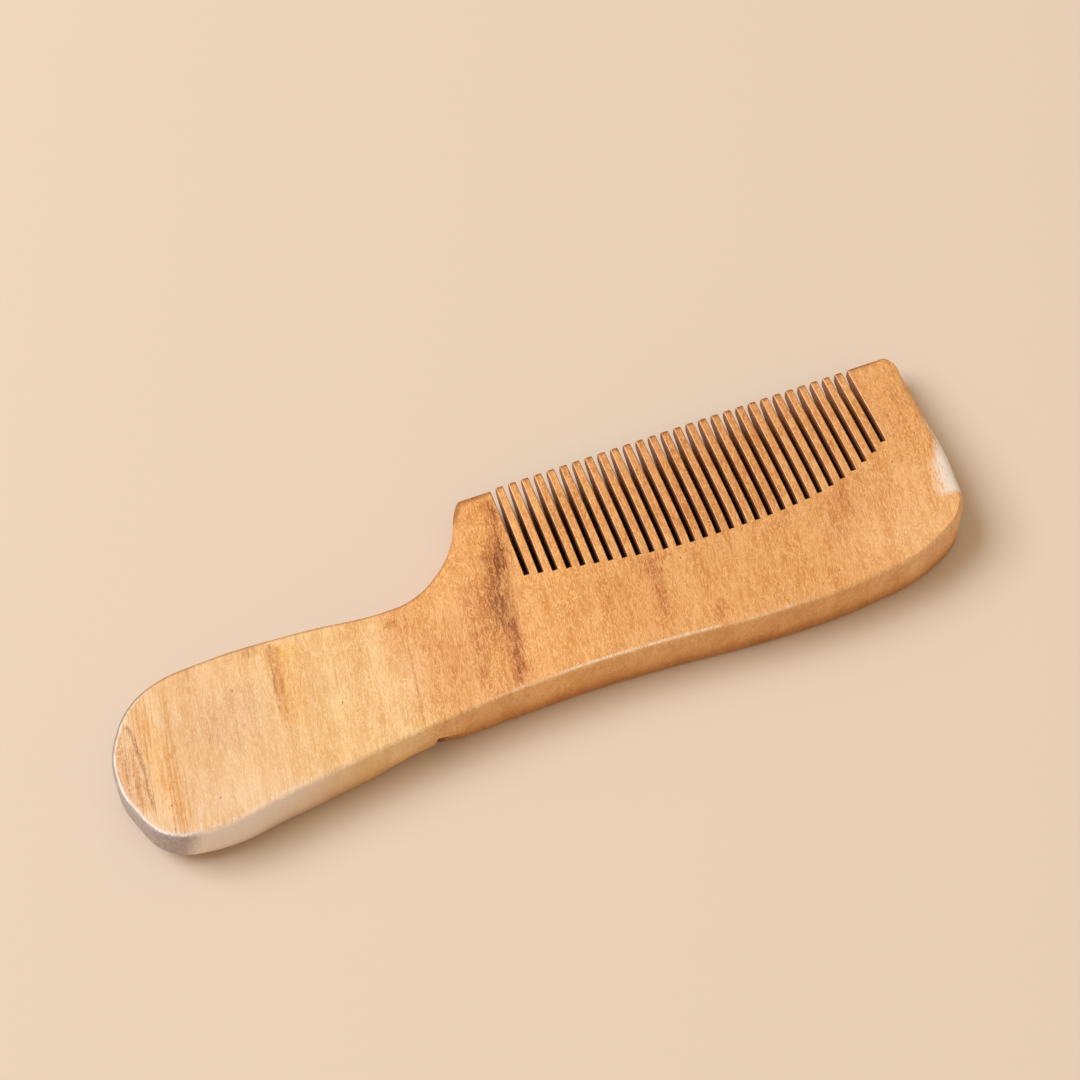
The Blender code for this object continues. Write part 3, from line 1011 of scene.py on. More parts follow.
class EffectGroup:
    """A node group with named inputs and outputs."""

    title = "effect"
    inputs: tuple = ()
    outputs: tuple = ()

    def __init__(self) -> None:
        """Build the group. Every input but the place is a plain value, and so is every output."""
        self.tree = bpy.data.node_groups.new(self.title, "ShaderNodeTree")
        self.tree.interface.new_socket("Place", in_out="INPUT", socket_type="NodeSocketVector")
        for name in self.inputs:
            self.tree.interface.new_socket(name, in_out="INPUT", socket_type="NodeSocketFloat")
        for name in self.outputs:
            self.tree.interface.new_socket(name, in_out="OUTPUT", socket_type="NodeSocketFloat")
        recipe = Recipe(self.tree)
        given = self.tree.nodes.new("NodeGroupInput").outputs
        results = self.fill(recipe, given)
        end = self.tree.nodes.new("NodeGroupOutput")
        for name, value in results.items():
            recipe.put(end.inputs[name], value)

    def fill(self, recipe: Recipe, given: Sockets) -> dict[str, Value]:
        """Add the group's nodes.

        Args:
            recipe: The group's tree.
            given: The group's inputs.

        Returns:
            What goes to each output.
        """
        raise NotImplementedError

    def use(self, recipe: Recipe, inputs: dict) -> Sockets:
        """Place the group in a tree.

        Args:
            recipe: The tree.
            inputs: What goes into its sockets, by name.

        Returns:
            Its outputs.
        """
        return recipe.step("ShaderNodeGroup", inputs, node_tree=self.tree).outputs


class GrainGroup(EffectGroup):
    """The wood's own structure: fibres along the teeth, curly figure, ticks, lines and pores."""

    title = "wood_grain"
    outputs = ("Fibre", "Curl", "Tick", "Line", "Band", "Cloud", "Pore", "Figure", "Fleck")

    lean = 0.16
    fibres = Layer((2.3, 0.26, 0.9), 4.0, 0.70, 0.5)
    waves = Layer((1.5, 0.42, 0.7), 1.5, 0.55, 1.4)
    specks = Layer((1.9, 0.62, 1.4), 2.0, 0.5, 1.2)
    lines = Layer((1.9, 0.06, 0.3), 2.0, 0.6)
    bands = Layer((0.26, 0.022, 0.05), 3.0, 0.55, 0.4)
    clouds = Layer((0.10, 0.06, 0.04))
    figures = Layer((0.42, 0.17, 0.3), 2.5, 0.55, 1.0)
    flecks = Layer((1.4, 0.75, 0.5), 1.0)
    curl_width = 0.075
    tick_levels = (0.50, 0.70)
    line_levels = (0.50, 0.66)
    fleck_levels = (0.52, 0.70)
    pore_cells = (0.55, 0.22, 0.6)
    pore_choice = (0.80, 0.82)
    pore_edge = (0.05, 0.09)

    def fill(self, recipe: Recipe, given: Sockets) -> dict[str, Value]:
        """Add the nodes. The place is in millimetres."""
        x, y, z = recipe.parts(given["Place"])
        leaning = recipe.minus(x, recipe.times(y, self.lean))
        place = recipe.step("ShaderNodeCombineXYZ", {0: leaning, 1: y, 2: z}).outputs[0]
        ridge = recipe.math("ABSOLUTE", recipe.minus(recipe.noise(place, self.waves), 0.5))
        inputs = {"Vector": recipe.scaled(place, self.pore_cells), "Scale": 1.0}
        cells = recipe.step("ShaderNodeTexVoronoi", inputs, feature="F1").outputs
        draw = recipe.step("ShaderNodeSeparateColor", {0: cells["Color"]}).outputs[0]
        pore = recipe.fall(cells["Distance"], *self.pore_edge)
        return {
            "Fibre": recipe.noise(place, self.fibres),
            "Curl": recipe.fall(ridge, 0.0, self.curl_width),
            "Tick": recipe.ease(recipe.noise(place, self.specks), *self.tick_levels),
            "Line": recipe.ease(recipe.noise(place, self.lines), *self.line_levels),
            "Band": recipe.noise(place, self.bands),
            "Cloud": recipe.noise(place, self.clouds),
            "Pore": recipe.times(pore, recipe.ease(draw, *self.pore_choice)),
            "Figure": recipe.noise(place, self.figures),
            "Fleck": recipe.ease(recipe.noise(place, self.flecks), *self.fleck_levels),
        }


class StreakGroup(EffectGroup):
    """One long streak between two places, a little bent and uneven."""

    title = "streak"
    inputs = (
        "Start X", "Start Y", "End X", "End Y", "Bend", "Half Width", "Soft Edge", "Wobble", "Ragged",
        "Start Fade", "End Fade",
    )
    outputs = ("Mask",)
    strays = Layer((0.12, 0.30, 0.0))
    tears = Layer((2.4, 0.26, 0.6), 3.0, 0.6, 0.5)

    def fill(self, recipe: Recipe, given: Sockets) -> dict[str, Value]:
        """Add the nodes. Places and widths are in millimetres."""
        times, plus, minus = recipe.times, recipe.plus, recipe.minus
        x, y, _ = recipe.parts(given["Place"])
        run_x = minus(given["End X"], given["Start X"])
        run_y = minus(given["End Y"], given["Start Y"])
        square = plus(times(run_x, run_x), times(run_y, run_y))
        from_x = minus(x, given["Start X"])
        from_y = minus(y, given["Start Y"])
        along = recipe.math("DIVIDE", plus(times(from_x, run_x), times(from_y, run_y)), square)
        across = minus(times(from_x, run_y), times(from_y, run_x))
        across = recipe.math("DIVIDE", across, recipe.math("SQRT", square))
        arch = times(along, minus(1.0, along), 4.0, given["Bend"])
        stray = recipe.swing(recipe.noise(given["Place"], self.strays), 0.5, given["Wobble"])
        across = minus(across, plus(arch, stray))
        tear = recipe.swing(recipe.noise(given["Place"], self.tears), 0.5, given["Ragged"])
        edge = plus(given["Half Width"], given["Soft Edge"])
        body = recipe.fall(plus(recipe.math("ABSOLUTE", across), tear), given["Half Width"], edge)
        start = recipe.ease(along, 0.0, given["Start Fade"])
        end = recipe.fall(along, minus(1.0, given["End Fade"]), 1.0)
        return {"Mask": times(body, times(start, end))}


class BlotGroup(EffectGroup):
    """One soft patch with a ragged edge."""

    title = "blot"
    inputs = ("Centre X", "Centre Y", "Half Width", "Half Length", "Lean", "Soft Share", "Ragged")
    outputs = ("Mask",)
    tears = Layer((0.9, 0.30, 0.4), 3.0, 0.6)

    def fill(self, recipe: Recipe, given: Sockets) -> dict[str, Value]:
        """Add the nodes. Places and sizes are in millimetres."""
        times, plus, minus = recipe.times, recipe.plus, recipe.minus
        x, y, _ = recipe.parts(given["Place"])
        from_y = minus(y, given["Centre Y"])
        from_x = minus(minus(x, given["Centre X"]), times(from_y, given["Lean"]))
        wide = recipe.math("DIVIDE", from_x, given["Half Width"])
        long = recipe.math("DIVIDE", from_y, given["Half Length"])
        reach = recipe.math("SQRT", plus(times(wide, wide), times(long, long)))
        tear = recipe.swing(recipe.noise(given["Place"], self.tears), 0.5, given["Ragged"])
        return {"Mask": recipe.fall(plus(reach, tear), minus(1.0, given["Soft Share"]), 1.0)}


class Tone(Enum):
    """The tones of the wood, as plain light shows them. The near-black kerf tone is painted shade, and CREAM
    and CHALK also lay painted highlights.
    """

    HANDLE_END = (0.90, 0.546, 0.262, 1)
    PALM = (0.89, 0.52, 0.228, 1)
    GRIP = (0.975, 0.608, 0.255, 1)
    WAIST = (0.865, 0.42, 0.136, 1)
    BACK = (0.91, 0.435, 0.132, 1)
    CENTRE = (0.83, 0.392, 0.117, 1)
    HEEL = (0.855, 0.412, 0.132, 1)
    BLEACHED = (0.97, 0.88, 0.84, 1)
    VIOLET_GREY = (0.36, 0.28, 0.26, 1)
    CHALK = (1.0, 0.94, 0.85, 1)
    # Near black: painted shade deep in the kerfs, with a little grime.
    SOOT = (0.030, 0.012, 0.006, 1)
    CREAM = (1.0, 0.76, 0.55, 1)
    AROUND = (0.60, 0.48, 0.38, 1)


class Stain(Enum):
    """What a mark leaves of the wood's own tone. BROWN and DARK also lay painted shade, PALE also a painted
    brightening of the front walls, and the kerf walls' brown is grime with painted shade.
    """

    FAINT = (0.90, 0.82, 0.74, 1)
    RUSSET = (0.80, 0.66, 0.56, 1)
    BROWN = (0.63, 0.51, 0.41, 1)
    DARK = (0.36, 0.25, 0.22, 1)
    GOLD = (1.00, 0.88, 0.62, 1)
    GREY = (0.86, 0.84, 0.94, 1)
    PALE = (1.08, 1.22, 1.50, 1)
    LIGHT_GRAIN = (1.10, 1.18, 1.38, 1)
    DARK_GRAIN = (0.80, 0.65, 0.45, 1)
    # Grime and painted shade on the kerf walls.
    SAWN = (0.55, 0.40, 0.25, 1)


@dataclass
class WoodFace:
    """What the finish reads of the surface, and the colour that has been laid on it so far.

    Places are in millimetres. A turn is a part of the surface's direction, from -1 to 1,
    high is 1 at the comb's upper edges, and flaw is 1 on its darkest fibres.
    """

    recipe: Recipe
    colour: Value = 0.0
    top_z: tuple = (8.0, 10.0)
    flaw_levels: tuple = (0.38, 0.62)

    def __post_init__(self) -> None:
        """Add the nodes that read the surface."""
        recipe = self.recipe
        source = recipe.step("ShaderNodeTexCoord", {}).outputs
        self.place = recipe.scaled(source["Object"], (1 / MM, 1 / MM, 1 / MM))
        self.x, self.y, self.z = recipe.parts(self.place)
        self.turn_x, self.turn_y, self.turn_z = recipe.parts(source["Normal"])
        self.flatness = recipe.math("ABSOLUTE", self.turn_z)
        self.grain = GrainGroup().use(recipe, {"Place": self.place})
        self.rim = recipe.attribute("rim")
        self.high = recipe.ease(self.z, *self.top_z)
        self.flaw = recipe.ease(self.grain["Fibre"], *self.flaw_levels)

    def stain(self, share: Value, stain: Stain) -> None:
        """Let a mark tint the colour."""
        self.colour = self.recipe.blend(share, self.colour, stain.value, "MULTIPLY")

    def paint(self, share: Value, tone: Tone) -> None:
        """Let another tone cover the colour."""
        self.colour = self.recipe.blend(share, self.colour, tone.value)


@dataclass(frozen=True)
class Streak:
    """A streak in the wood: places and widths in millimetres, and its stain."""

    start: tuple
    end: tuple
    half_width: float
    soft_edge: float
    stain: Stain
    strength: float
    bend: float = 0.0
    wobble: float = 0.6
    ragged: float = 0.6
    start_fade: float = 0.1
    end_fade: float = 0.3

    def sockets(self, place: Value) -> dict[str, Value]:
        """Return what goes into the streak group."""
        return {
            "Place": place, "Start X": self.start[0], "Start Y": self.start[1],
            "End X": self.end[0], "End Y": self.end[1], "Bend": self.bend,
            "Half Width": self.half_width, "Soft Edge": self.soft_edge, "Wobble": self.wobble,
            "Ragged": self.ragged, "Start Fade": self.start_fade, "End Fade": self.end_fade,
        }


@dataclass(frozen=True)
class Blot:
    """A patch in the wood: place and sizes in millimetres, and its stain."""

    centre: tuple
    half_width: float
    half_length: float
    stain: Stain
    strength: float
    lean: float = 0.0
    soft_share: float = 0.7
    ragged: float = 0.8

    def sockets(self, place: Value) -> dict[str, Value]:
        """Return what goes into the blot group."""
        return {
            "Place": place, "Centre X": self.centre[0], "Centre Y": self.centre[1],
            "Half Width": self.half_width, "Half Length": self.half_length,
            "Lean": self.lean, "Soft Share": self.soft_share, "Ragged": self.ragged,
        }


@dataclass(frozen=True)
class GrainDepths:
    """How far each part of the grain darkens the wood.

    A pair is what it does anywhere and what a place adds to that.
    """

    fibre: float = 1.5
    tick: float = 0.22
    tick_middle: float = 0.40
    curl: tuple = (0.58, 0.34)
    curl_middle: float = 0.25
    on_head: tuple = (0.72, 0.40)
    on_flat: tuple = (0.50, 0.50)
    band: float = 1.3
    figure: tuple = (0.30, 0.5)
    line: tuple = (0.10, 0.45)
    line_middle: float = 0.3
    head_x: tuple = (-45.0, -20.0)
    end_x: tuple = (-77.0, -70.0)
    flat_turn: tuple = (0.3, 0.8)

    def lay(self, face: WoodFace) -> None:
        """Lay the grain over the wood's slow tone.

        Args:
            face: The wood so far.
        """
        recipe, grain = face.recipe, face.grain
        head = recipe.ease(face.x, *self.head_x)
        flat = recipe.ease(face.flatness, *self.flat_turn)
        end = recipe.fall(face.x, *self.end_x)
        depth = recipe.swing(grain["Fibre"], 0.5, self.fibre)
        depth = recipe.plus(depth, recipe.swing(grain["Tick"], self.tick_middle, self.tick))
        curl = recipe.swing(grain["Curl"], self.curl_middle, recipe.raised(head, *self.curl))
        depth = recipe.minus(depth, curl)
        depth = recipe.times(depth, recipe.raised(head, *self.on_head), recipe.raised(flat, *self.on_flat))
        depth = recipe.plus(
            depth,
            recipe.swing(grain["Band"], 0.5, self.band),
            recipe.swing(grain["Figure"], 0.5, recipe.raised(head, *self.figure)),
            recipe.swing(grain["Line"], self.line_middle, recipe.raised(end, *self.line)),
        )
        share = recipe.step("ShaderNodeClamp", {0: recipe.plus(depth, 0.5)}).outputs[0]
        toning = recipe.blend(share, Stain.LIGHT_GRAIN.value, Stain.DARK_GRAIN.value)
        face.colour = recipe.blend(1.0, face.colour, toning, "MULTIPLY")


@dataclass(frozen=True)
class BackWearAndPaintedLight:
    """Wear and painted light on the head and the palm: specks on the teeth, a painted brightening of the
    upper walls that face the front, arrises worn pale and lit as a painted highlight, and scuffs on the palm.
    """

    speck_x: tuple = (-6.0, 4.0)
    speck_y: tuple = (-3.0, 5.0)
    speck_share: float = 0.55
    wall_turn: tuple = (-0.75, -0.35)
    wall_z: tuple = (3.5, 7.5)
    heel_x: tuple = (10.0, 60.0)
    heel_loss: float = 0.35
    wall_share: float = 0.95
    arris_rim: tuple = (0.22, 0.40, 0.55, 0.95)
    arris_x: tuple = (-26.0, -4.0, 20.0, 66.0)
    arris_y: tuple = (-2.0, 4.0)
    arris_share: tuple = (0.10, 0.62)
    cloud_gaps: tuple = (0.35, 0.65)
    least_flaw: float = 0.3
    least_gap: float = 0.25
    palm_rim: tuple = (0.2, 1.9)
    palm_tear: float = 6.0
    palm_x: tuple = (-60.0, -40.0)
    palm_y: tuple = (-17.0, -12.0)
    palm_share: float = 0.3

    def lay(self, face: WoodFace) -> None:
        """Lay this wear and painted light over the wood.

        Args:
            face: The wood so far.
        """
        recipe, grain = face.recipe, face.grain
        speck = recipe.times(grain["Fleck"], recipe.ease(face.y, *self.speck_y))
        speck = recipe.times(speck, recipe.ease(face.x, *self.speck_x), self.speck_share)
        face.stain(speck, Stain.RUSSET)
        # Painted light: the upper half of the walls that face the front is paler, less so towards the heel.
        wall = recipe.times(recipe.fall(face.turn_y, *self.wall_turn), recipe.ease(face.z, *self.wall_z))
        wall = recipe.times(wall, recipe.raised(recipe.ease(face.x, *self.heel_x), 1.0, -self.heel_loss))
        face.stain(recipe.times(wall, self.wall_share), Stain.PALE)
        # The upper arrises, worn pale and partly a painted highlight.
        flaw = recipe.plus(face.flaw, self.least_flaw)
        gap = recipe.plus(recipe.ease(grain["Cloud"], *self.cloud_gaps), self.least_gap)
        worn = recipe.times(recipe.window(face.rim, *self.arris_rim), face.high)
        worn = recipe.times(worn, recipe.fall(face.y, *self.arris_y), recipe.times(flaw, gap))
        span = recipe.raised(recipe.window(face.x, *self.arris_x), *self.arris_share)
        face.paint(recipe.times(worn, span), Tone.CREAM)
        scuff = recipe.plus(face.rim, recipe.swing(grain["Fibre"], 0.5, self.palm_tear))
        scuff = recipe.times(recipe.fall(scuff, *self.palm_rim), face.high, recipe.fall(face.x, *self.palm_x))
        scuff = recipe.times(scuff, recipe.fall(face.y, *self.palm_y), self.palm_share)
        face.paint(scuff, Tone.BLEACHED)


@dataclass(frozen=True)
class RubbedHeel:
    """The chalky patch that is rubbed into the upper edge of the heel, wider away from the teeth."""

    width: tuple = (0.9, 3.3)
    width_y: tuple = (-7.0, 6.0)
    tick_part: float = 0.3
    scratch_middle: float = 0.55
    scratch: float = 4.6
    full_share: float = 0.15
    end_share: float = 1.50
    across_y: tuple = (-9.8, -8.2, 0.0, 13.0)
    from_x: tuple = (74.0, 79.0)
    from_z: tuple = (6.0, 9.5)
    share: float = 0.90

    def lay(self, face: WoodFace) -> None:
        """Lay the patch over the wood.

        Args:
            face: The wood so far.
        """
        recipe, grain = face.recipe, face.grain
        width = recipe.raised(recipe.fall(face.y, *self.width_y), *self.width)
        scratches = recipe.plus(grain["Fibre"], recipe.times(grain["Tick"], self.tick_part))
        ragged = recipe.plus(face.rim, recipe.swing(scratches, self.scratch_middle, self.scratch))
        full, end = recipe.times(width, self.full_share), recipe.times(width, self.end_share)
        rubbed = recipe.times(recipe.fall(ragged, full, end), recipe.window(face.y, *self.across_y))
        rubbed = recipe.times(rubbed, recipe.ease(face.x, *self.from_x), recipe.ease(face.z, *self.from_z))
        face.paint(recipe.times(rubbed, self.share), Tone.CHALK)


@dataclass(frozen=True)
class BleachedEnd:
    """The bleached walls of the handle, with the violet-grey band and thin chalky rim at its end, the rim
    partly wear and partly a painted highlight.
    """

    wall_flatness: tuple = (0.35, 0.85)
    palm_turn: tuple = (0.0, 0.6)
    palm_share: tuple = (0.35, 0.65)
    wall_x: tuple = (-66.0, -38.0)
    wall_fibre: tuple = (0.40, 0.7)
    band_tear: float = 6.0
    band_slant: float = 0.25
    band_turn: tuple = (0.84, 0.94)
    band_x: tuple = (-80.5, -76.0)
    band_fibre: tuple = (0.45, 0.85)
    rim_span: tuple = (0.30, 0.50, 0.70, 0.95)
    rim_x: tuple = (-78.0, -72.0)
    rim_flaw: tuple = (0.25, 0.75)
    rim_share: float = 0.85

    def lay(self, face: WoodFace) -> None:
        """Lay this wear over the wood.

        Args:
            face: The wood so far.
        """
        recipe, fibre = face.recipe, face.grain["Fibre"]
        wall = recipe.fall(face.flatness, *self.wall_flatness)
        palm = recipe.raised(recipe.fall(face.turn_y, *self.palm_turn), *self.palm_share)
        bleached = recipe.times(wall, palm, recipe.fall(face.x, *self.wall_x))
        face.paint(recipe.times(bleached, recipe.raised(fibre, *self.wall_fibre)), Tone.BLEACHED)
        slanted = recipe.plus(face.x, recipe.swing(fibre, 0.5, self.band_tear))
        slanted = recipe.minus(slanted, recipe.times(face.z, self.band_slant))
        band = recipe.times(recipe.fall(face.turn_z, *self.band_turn), recipe.fall(slanted, *self.band_x))
        face.paint(recipe.times(band, recipe.raised(fibre, *self.band_fibre)), Tone.VIOLET_GREY)
        # The chalky rim at the end: wear, and a painted highlight on its rounded edge.
        white = recipe.times(recipe.window(face.rim, *self.rim_span), face.high)
        flaw = recipe.raised(face.flaw, *self.rim_flaw)
        white = recipe.times(white, recipe.fall(face.x, *self.rim_x), flaw)
        face.paint(recipe.times(white, self.rim_share), Tone.CHALK)


@dataclass(frozen=True)
class PaintedShadeEdges:
    """Painted shade: on the rolled tips, on edges that face away, at the foot of the walls and at the nick's
    left end.
    """

    nick_x: float
    tip_y: tuple = (18.0, 22.0)
    tip_rim: tuple = (0.5, 1.5)
    heel_x: tuple = (80.0, 84.0)
    far_turn: tuple = (0.15, 0.60)
    shoulder_x: tuple = (-48.0, -40.0, -14.0, -8.0)
    shoulder_turn: tuple = (-0.75, -0.35)
    foot_z: tuple = (1.0, 5.0)
    foot_flatness: tuple = (0.8, 0.98)
    foot_share: float = 0.9
    nick_fade: float = 2.6
    nick_share: tuple = (0.15, 0.85)

    def lay(self, face: WoodFace) -> None:
        """Paint shade on these edges.

        Args:
            face: The wood so far.
        """
        recipe = face.recipe
        # Painted shade on the rolled ends of the teeth.
        rolled = recipe.times(recipe.ease(face.y, *self.tip_y), recipe.fall(face.rim, *self.tip_rim))
        face.stain(recipe.times(rolled, recipe.fall(face.x, *self.heel_x)), Stain.BROWN)
        # Painted shade on the surfaces that face away, and on the shoulder walls that face the handle.
        turned = recipe.fall(face.turn_x, *self.shoulder_turn)
        shoulder = recipe.times(recipe.window(face.x, *self.shoulder_x), turned)
        far = recipe.math("MAXIMUM", recipe.ease(face.turn_y, *self.far_turn), shoulder)
        face.stain(far, Stain.BROWN)
        # Painted shade, darker towards the foot of the walls.
        foot = recipe.times(recipe.fall(face.z, *self.foot_z), self.foot_share)
        face.stain(recipe.times(foot, recipe.fall(face.flatness, *self.foot_flatness)), Stain.BROWN)
        # Painted shade in the nick, darkest at its left end.
        nick = recipe.raised(recipe.fall(face.x, self.nick_x, self.nick_x + self.nick_fade), *self.nick_share)
        face.stain(recipe.times(recipe.attribute("nicked"), nick), Stain.DARK)


@dataclass(frozen=True)
class KerfWalls:
    """The walls of the kerfs: grime and painted shade, darker the deeper they lie, and a painted highlight
    and painted shade on their arrises.
    """

    open_y: tuple = (14.0, 26.0)
    dark_from: float = 0.2
    dark_depth: tuple = (3.0, 6.0)
    dark_share: tuple = (0.97, -0.25)
    lit_side: tuple = (0.4, 0.6)
    lit_fibre: tuple = (0.25, 0.80)
    shaded_side: tuple = (-0.6, -0.4)
    arris_share: float = 0.8

    def lay(self, face: WoodFace) -> None:
        """Paint grime and shade on the walls, and a highlight and shade on their rounded edges.

        Args:
            face: The wood so far.
        """
        recipe = face.recipe
        sunk, sawn, arris = (recipe.attribute(kind) for kind in ("sunk", "sawn", "arris"))
        open_end = recipe.ease(face.y, *self.open_y)
        # Grime and painted shade on every kerf wall, then painted shade that deepens with the depth below the
        # upper face, less towards the open tips.
        face.stain(sawn, Stain.SAWN)
        deep = recipe.ease(sunk, self.dark_from, recipe.raised(open_end, *self.dark_depth))
        face.paint(recipe.times(deep, recipe.raised(open_end, *self.dark_share), sawn), Tone.SOOT)
        # Painted highlight on the arrises that face the handle, and painted shade on those that face the
        # heel.
        lit = recipe.times(recipe.ease(arris, *self.lit_side), self.arris_share)
        face.paint(recipe.times(lit, recipe.ease(face.grain["Fibre"], *self.lit_fibre)), Tone.CREAM)
        face.stain(recipe.times(recipe.fall(arris, *self.shaded_side), self.arris_share), Stain.BROWN)


@dataclass(frozen=True)
class PeachWood:
    """Sanded peach wood: paler on the handle, with streaks, pores, worn edges and painted light and shade."""

    sizes: CombSizes
    slow_tones: tuple = (
        (0.00, Tone.HANDLE_END), (0.14, Tone.PALM), (0.27, Tone.GRIP), (0.36, Tone.WAIST),
        (0.50, Tone.BACK), (0.72, Tone.CENTRE), (0.95, Tone.HEEL),
    )
    tone_drift: float = 0.16
    streaks: tuple = (
        Streak((-1.0, 24.5), (-4.6, 5.0), 0.7, 2.2, Stain.RUSSET, 1.0, bend=-0.4, ragged=1.4, end_fade=0.1),
        Streak((-0.8, 24.0), (-4.7, 5.0), 0.2, 0.9, Stain.BROWN, 0.85, bend=-0.4, ragged=0.9, end_fade=0.1),
        Streak((-2.6, 17.0), (-8.4, -10.0), 1.2, 2.6, Stain.BROWN, 0.95, 0.5, 0.6, 2.2, start_fade=0.3),
        Streak((-7.4, -4.0), (-9.8, -20.0), 0.8, 2.2, Stain.RUSSET, 1.0, bend=-0.4, ragged=1.8, end_fade=0.2),
        Streak((-7.0, -4.0), (-10.6, -20.0), 0.4, 1.1, Stain.BROWN, 0.80, bend=-0.8, wobble=1.8, ragged=1.6),
        Streak((-8.0, 9.0), (-12.8, -12.0), 1.8, 3.6, Stain.RUSSET, 0.8, 0.8, 0.6, 3.0, 0.35, 0.5),
        Streak((-3.6, 12.0), (-8.6, -9.0), 0.05, 0.6, Stain.BROWN, 0.8, 0.4, 2.0, 0.8, end_fade=0.2),
        Streak((-6.0, 6.0), (-10.5, -8.0), 0.1, 0.6, Stain.BROWN, 0.60, wobble=2.4, ragged=1.0),
        Streak((-13.0, -4.0), (-16.5, -19.0), 0.4, 1.4, Stain.RUSSET, 0.8, wobble=1.6, ragged=1.6),
        Streak((-51.0, 6.8), (-53.9, -13.6), 0.06, 0.5, Stain.BROWN, 0.95, 0.2, 0.6, 0.4, 0.02, 0.8),
        Streak((-49.0, 6.8), (-51.6, -14.0), 1.2, 3.0, Stain.GOLD, 0.9),
        Streak((-50.6, 6.8), (-53.2, -12.0), 0.4, 1.4, Stain.RUSSET, 0.7),
        Streak((-24.8, 4.8), (-29.4, -20.8), 0.05, 0.40, Stain.RUSSET, 0.9, 0.3, 0.6, 0.3, end_fade=0.1),
        Streak((-81.0, 0.0), (-80.4, -13.0), 0.12, 0.55, Stain.BROWN, 0.9, -0.4, 0.8, 0.5, end_fade=0.1),
        Streak((-80.5, -12.0), (-81.4, -21.0), 0.08, 0.5, Stain.BROWN, 0.85, 0.0, 0.8, 0.5, end_fade=0.5),
        Streak((23.2, -1.6), (21.6, -18.2), 0.35, 1.3, Stain.RUSSET, 0.80, bend=0.6, wobble=1.6, ragged=1.6),
        Streak((63.0, -1.0), (56.0, -17.0), 0.8, 2.6, Stain.RUSSET, 0.60, bend=0.8, ragged=2.0, end_fade=0.6),
        Streak((31.6, -14.5), (30.8, -19.2), 0.4, 1.2, Stain.RUSSET, 0.7, wobble=1.2),
    )
    blots: tuple = (
        Blot((-84.0, -9.0), 4.2, 13.0, Stain.RUSSET, 0.85, ragged=1.2),
        Blot((-77.2, -11.0), 3.6, 18.0, Stain.GOLD, 0.9, lean=-0.05, ragged=0.6),
        Blot((-62.0, -6.0), 9.0, 9.0, Stain.GREY, 0.5),
        Blot((-54.6, 6.2), 2.8, 1.6, Stain.RUSSET, 0.9),
        Blot((-28.2, 2.2), 1.7, 1.5, Stain.RUSSET, 1.0),
        Blot((-19.0, -9.0), 5.0, 10.0, Stain.FAINT, 0.9, lean=0.15),
        Blot((22.0, -3.0), 4.5, 5.0, Stain.RUSSET, 0.8),
        Blot((60.5, -3.0), 5.0, 4.5, Stain.FAINT, 0.9, lean=0.4),
        Blot((-27.0, -7.0), 4.5, 8.0, Stain.PALE, 0.45),
        Blot((-68.0, -20.0), 10.0, 8.0, Stain.PALE, 0.40),
        Blot((-76.0, -24.0), 7.0, 5.0, Stain.PALE, 0.30),
        Blot((72.0, -15.0), 10.0, 7.0, Stain.PALE, 0.55),
        Blot((40.0, 15.0), 38.0, 18.0, Stain.FAINT, 1.0, soft_share=0.4),
        Blot((38.0, 8.0), 22.0, 14.0, Stain.FAINT, 0.35),
        Blot((18.0, -10.0), 9.0, 13.0, Stain.FAINT, 0.9),
        Blot((66.0, -4.0), 8.0, 9.0, Stain.FAINT, 0.7),
        Blot((-14.7, 2.5), 6.0, 9.0, Stain.LIGHT_GRAIN, 0.6),
        Blot((80.0, 13.0), 9.0, 14.0, Stain.FAINT, 0.8),
        Blot((72.0, -11.0), 22.0, 16.0, Stain.LIGHT_GRAIN, 0.9),
        Blot((-31.0, -6.0), 9.0, 16.0, Stain.LIGHT_GRAIN, 0.7),
        Blot((10.0, -17.0), 12.0, 4.0, Stain.PALE, 0.2),
        Blot((-60.0, -22.0), 16.0, 4.0, Stain.PALE, 0.30),
    )
    mark_tick_part: float = 0.25
    mark_levels: tuple = (0.25, 0.75)
    mark_share: tuple = (0.45, 0.9)
    pore_share: float = 0.8
    roughness: float = 0.50
    fibre_gloss: float = 0.25
    bounce_share: float = 0.30
    relief_curl: float = 0.35
    relief_tick: float = 0.25
    relief_pore: float = 1.5
    relief_strength: float = 0.40
    relief_depth: float = 0.12 * MM

    def slow_tone(self, face: WoodFace) -> Socket:
        """Return the slow change of tone along the comb.

        Args:
            face: The bare surface.

        Returns:
            The colour.
        """
        recipe = face.recipe
        drift = recipe.swing(face.grain["Cloud"], 0.5, self.tone_drift)
        place = recipe.math("DIVIDE", face.x, self.sizes.length / MM)
        ramp = recipe.step("ShaderNodeValToRGB", {0: recipe.plus(place, 0.5, drift)})
        stops = ramp.color_ramp.elements
        while len(stops) < len(self.slow_tones):
            stops.new(0.5)
        for stop, (position, tone) in zip(stops, self.slow_tones):
            stop.position = position
            stop.color = tone.value
        return ramp.outputs[0]

    def mark(self, face: WoodFace) -> None:
        """Lay the patches, streaks and pores over the grain, which shows through them.

        Args:
            face: The wood so far.
        """
        recipe, grain = face.recipe, face.grain
        ticks = recipe.times(recipe.minus(grain["Tick"], grain["Curl"]), self.mark_tick_part)
        texture = recipe.ease(recipe.plus(grain["Fibre"], ticks), *self.mark_levels)
        texture = recipe.raised(texture, *self.mark_share)
        for group, marks in ((BlotGroup(), self.blots), (StreakGroup(), self.streaks)):
            for mark in marks:
                mask = group.use(recipe, mark.sockets(face.place))["Mask"]
                share = recipe.times(mask, mark.strength, texture)
                face.stain(recipe.math("MINIMUM", share, 1.0), mark.stain)
        face.stain(recipe.times(grain["Pore"], self.pore_share), Stain.DARK)

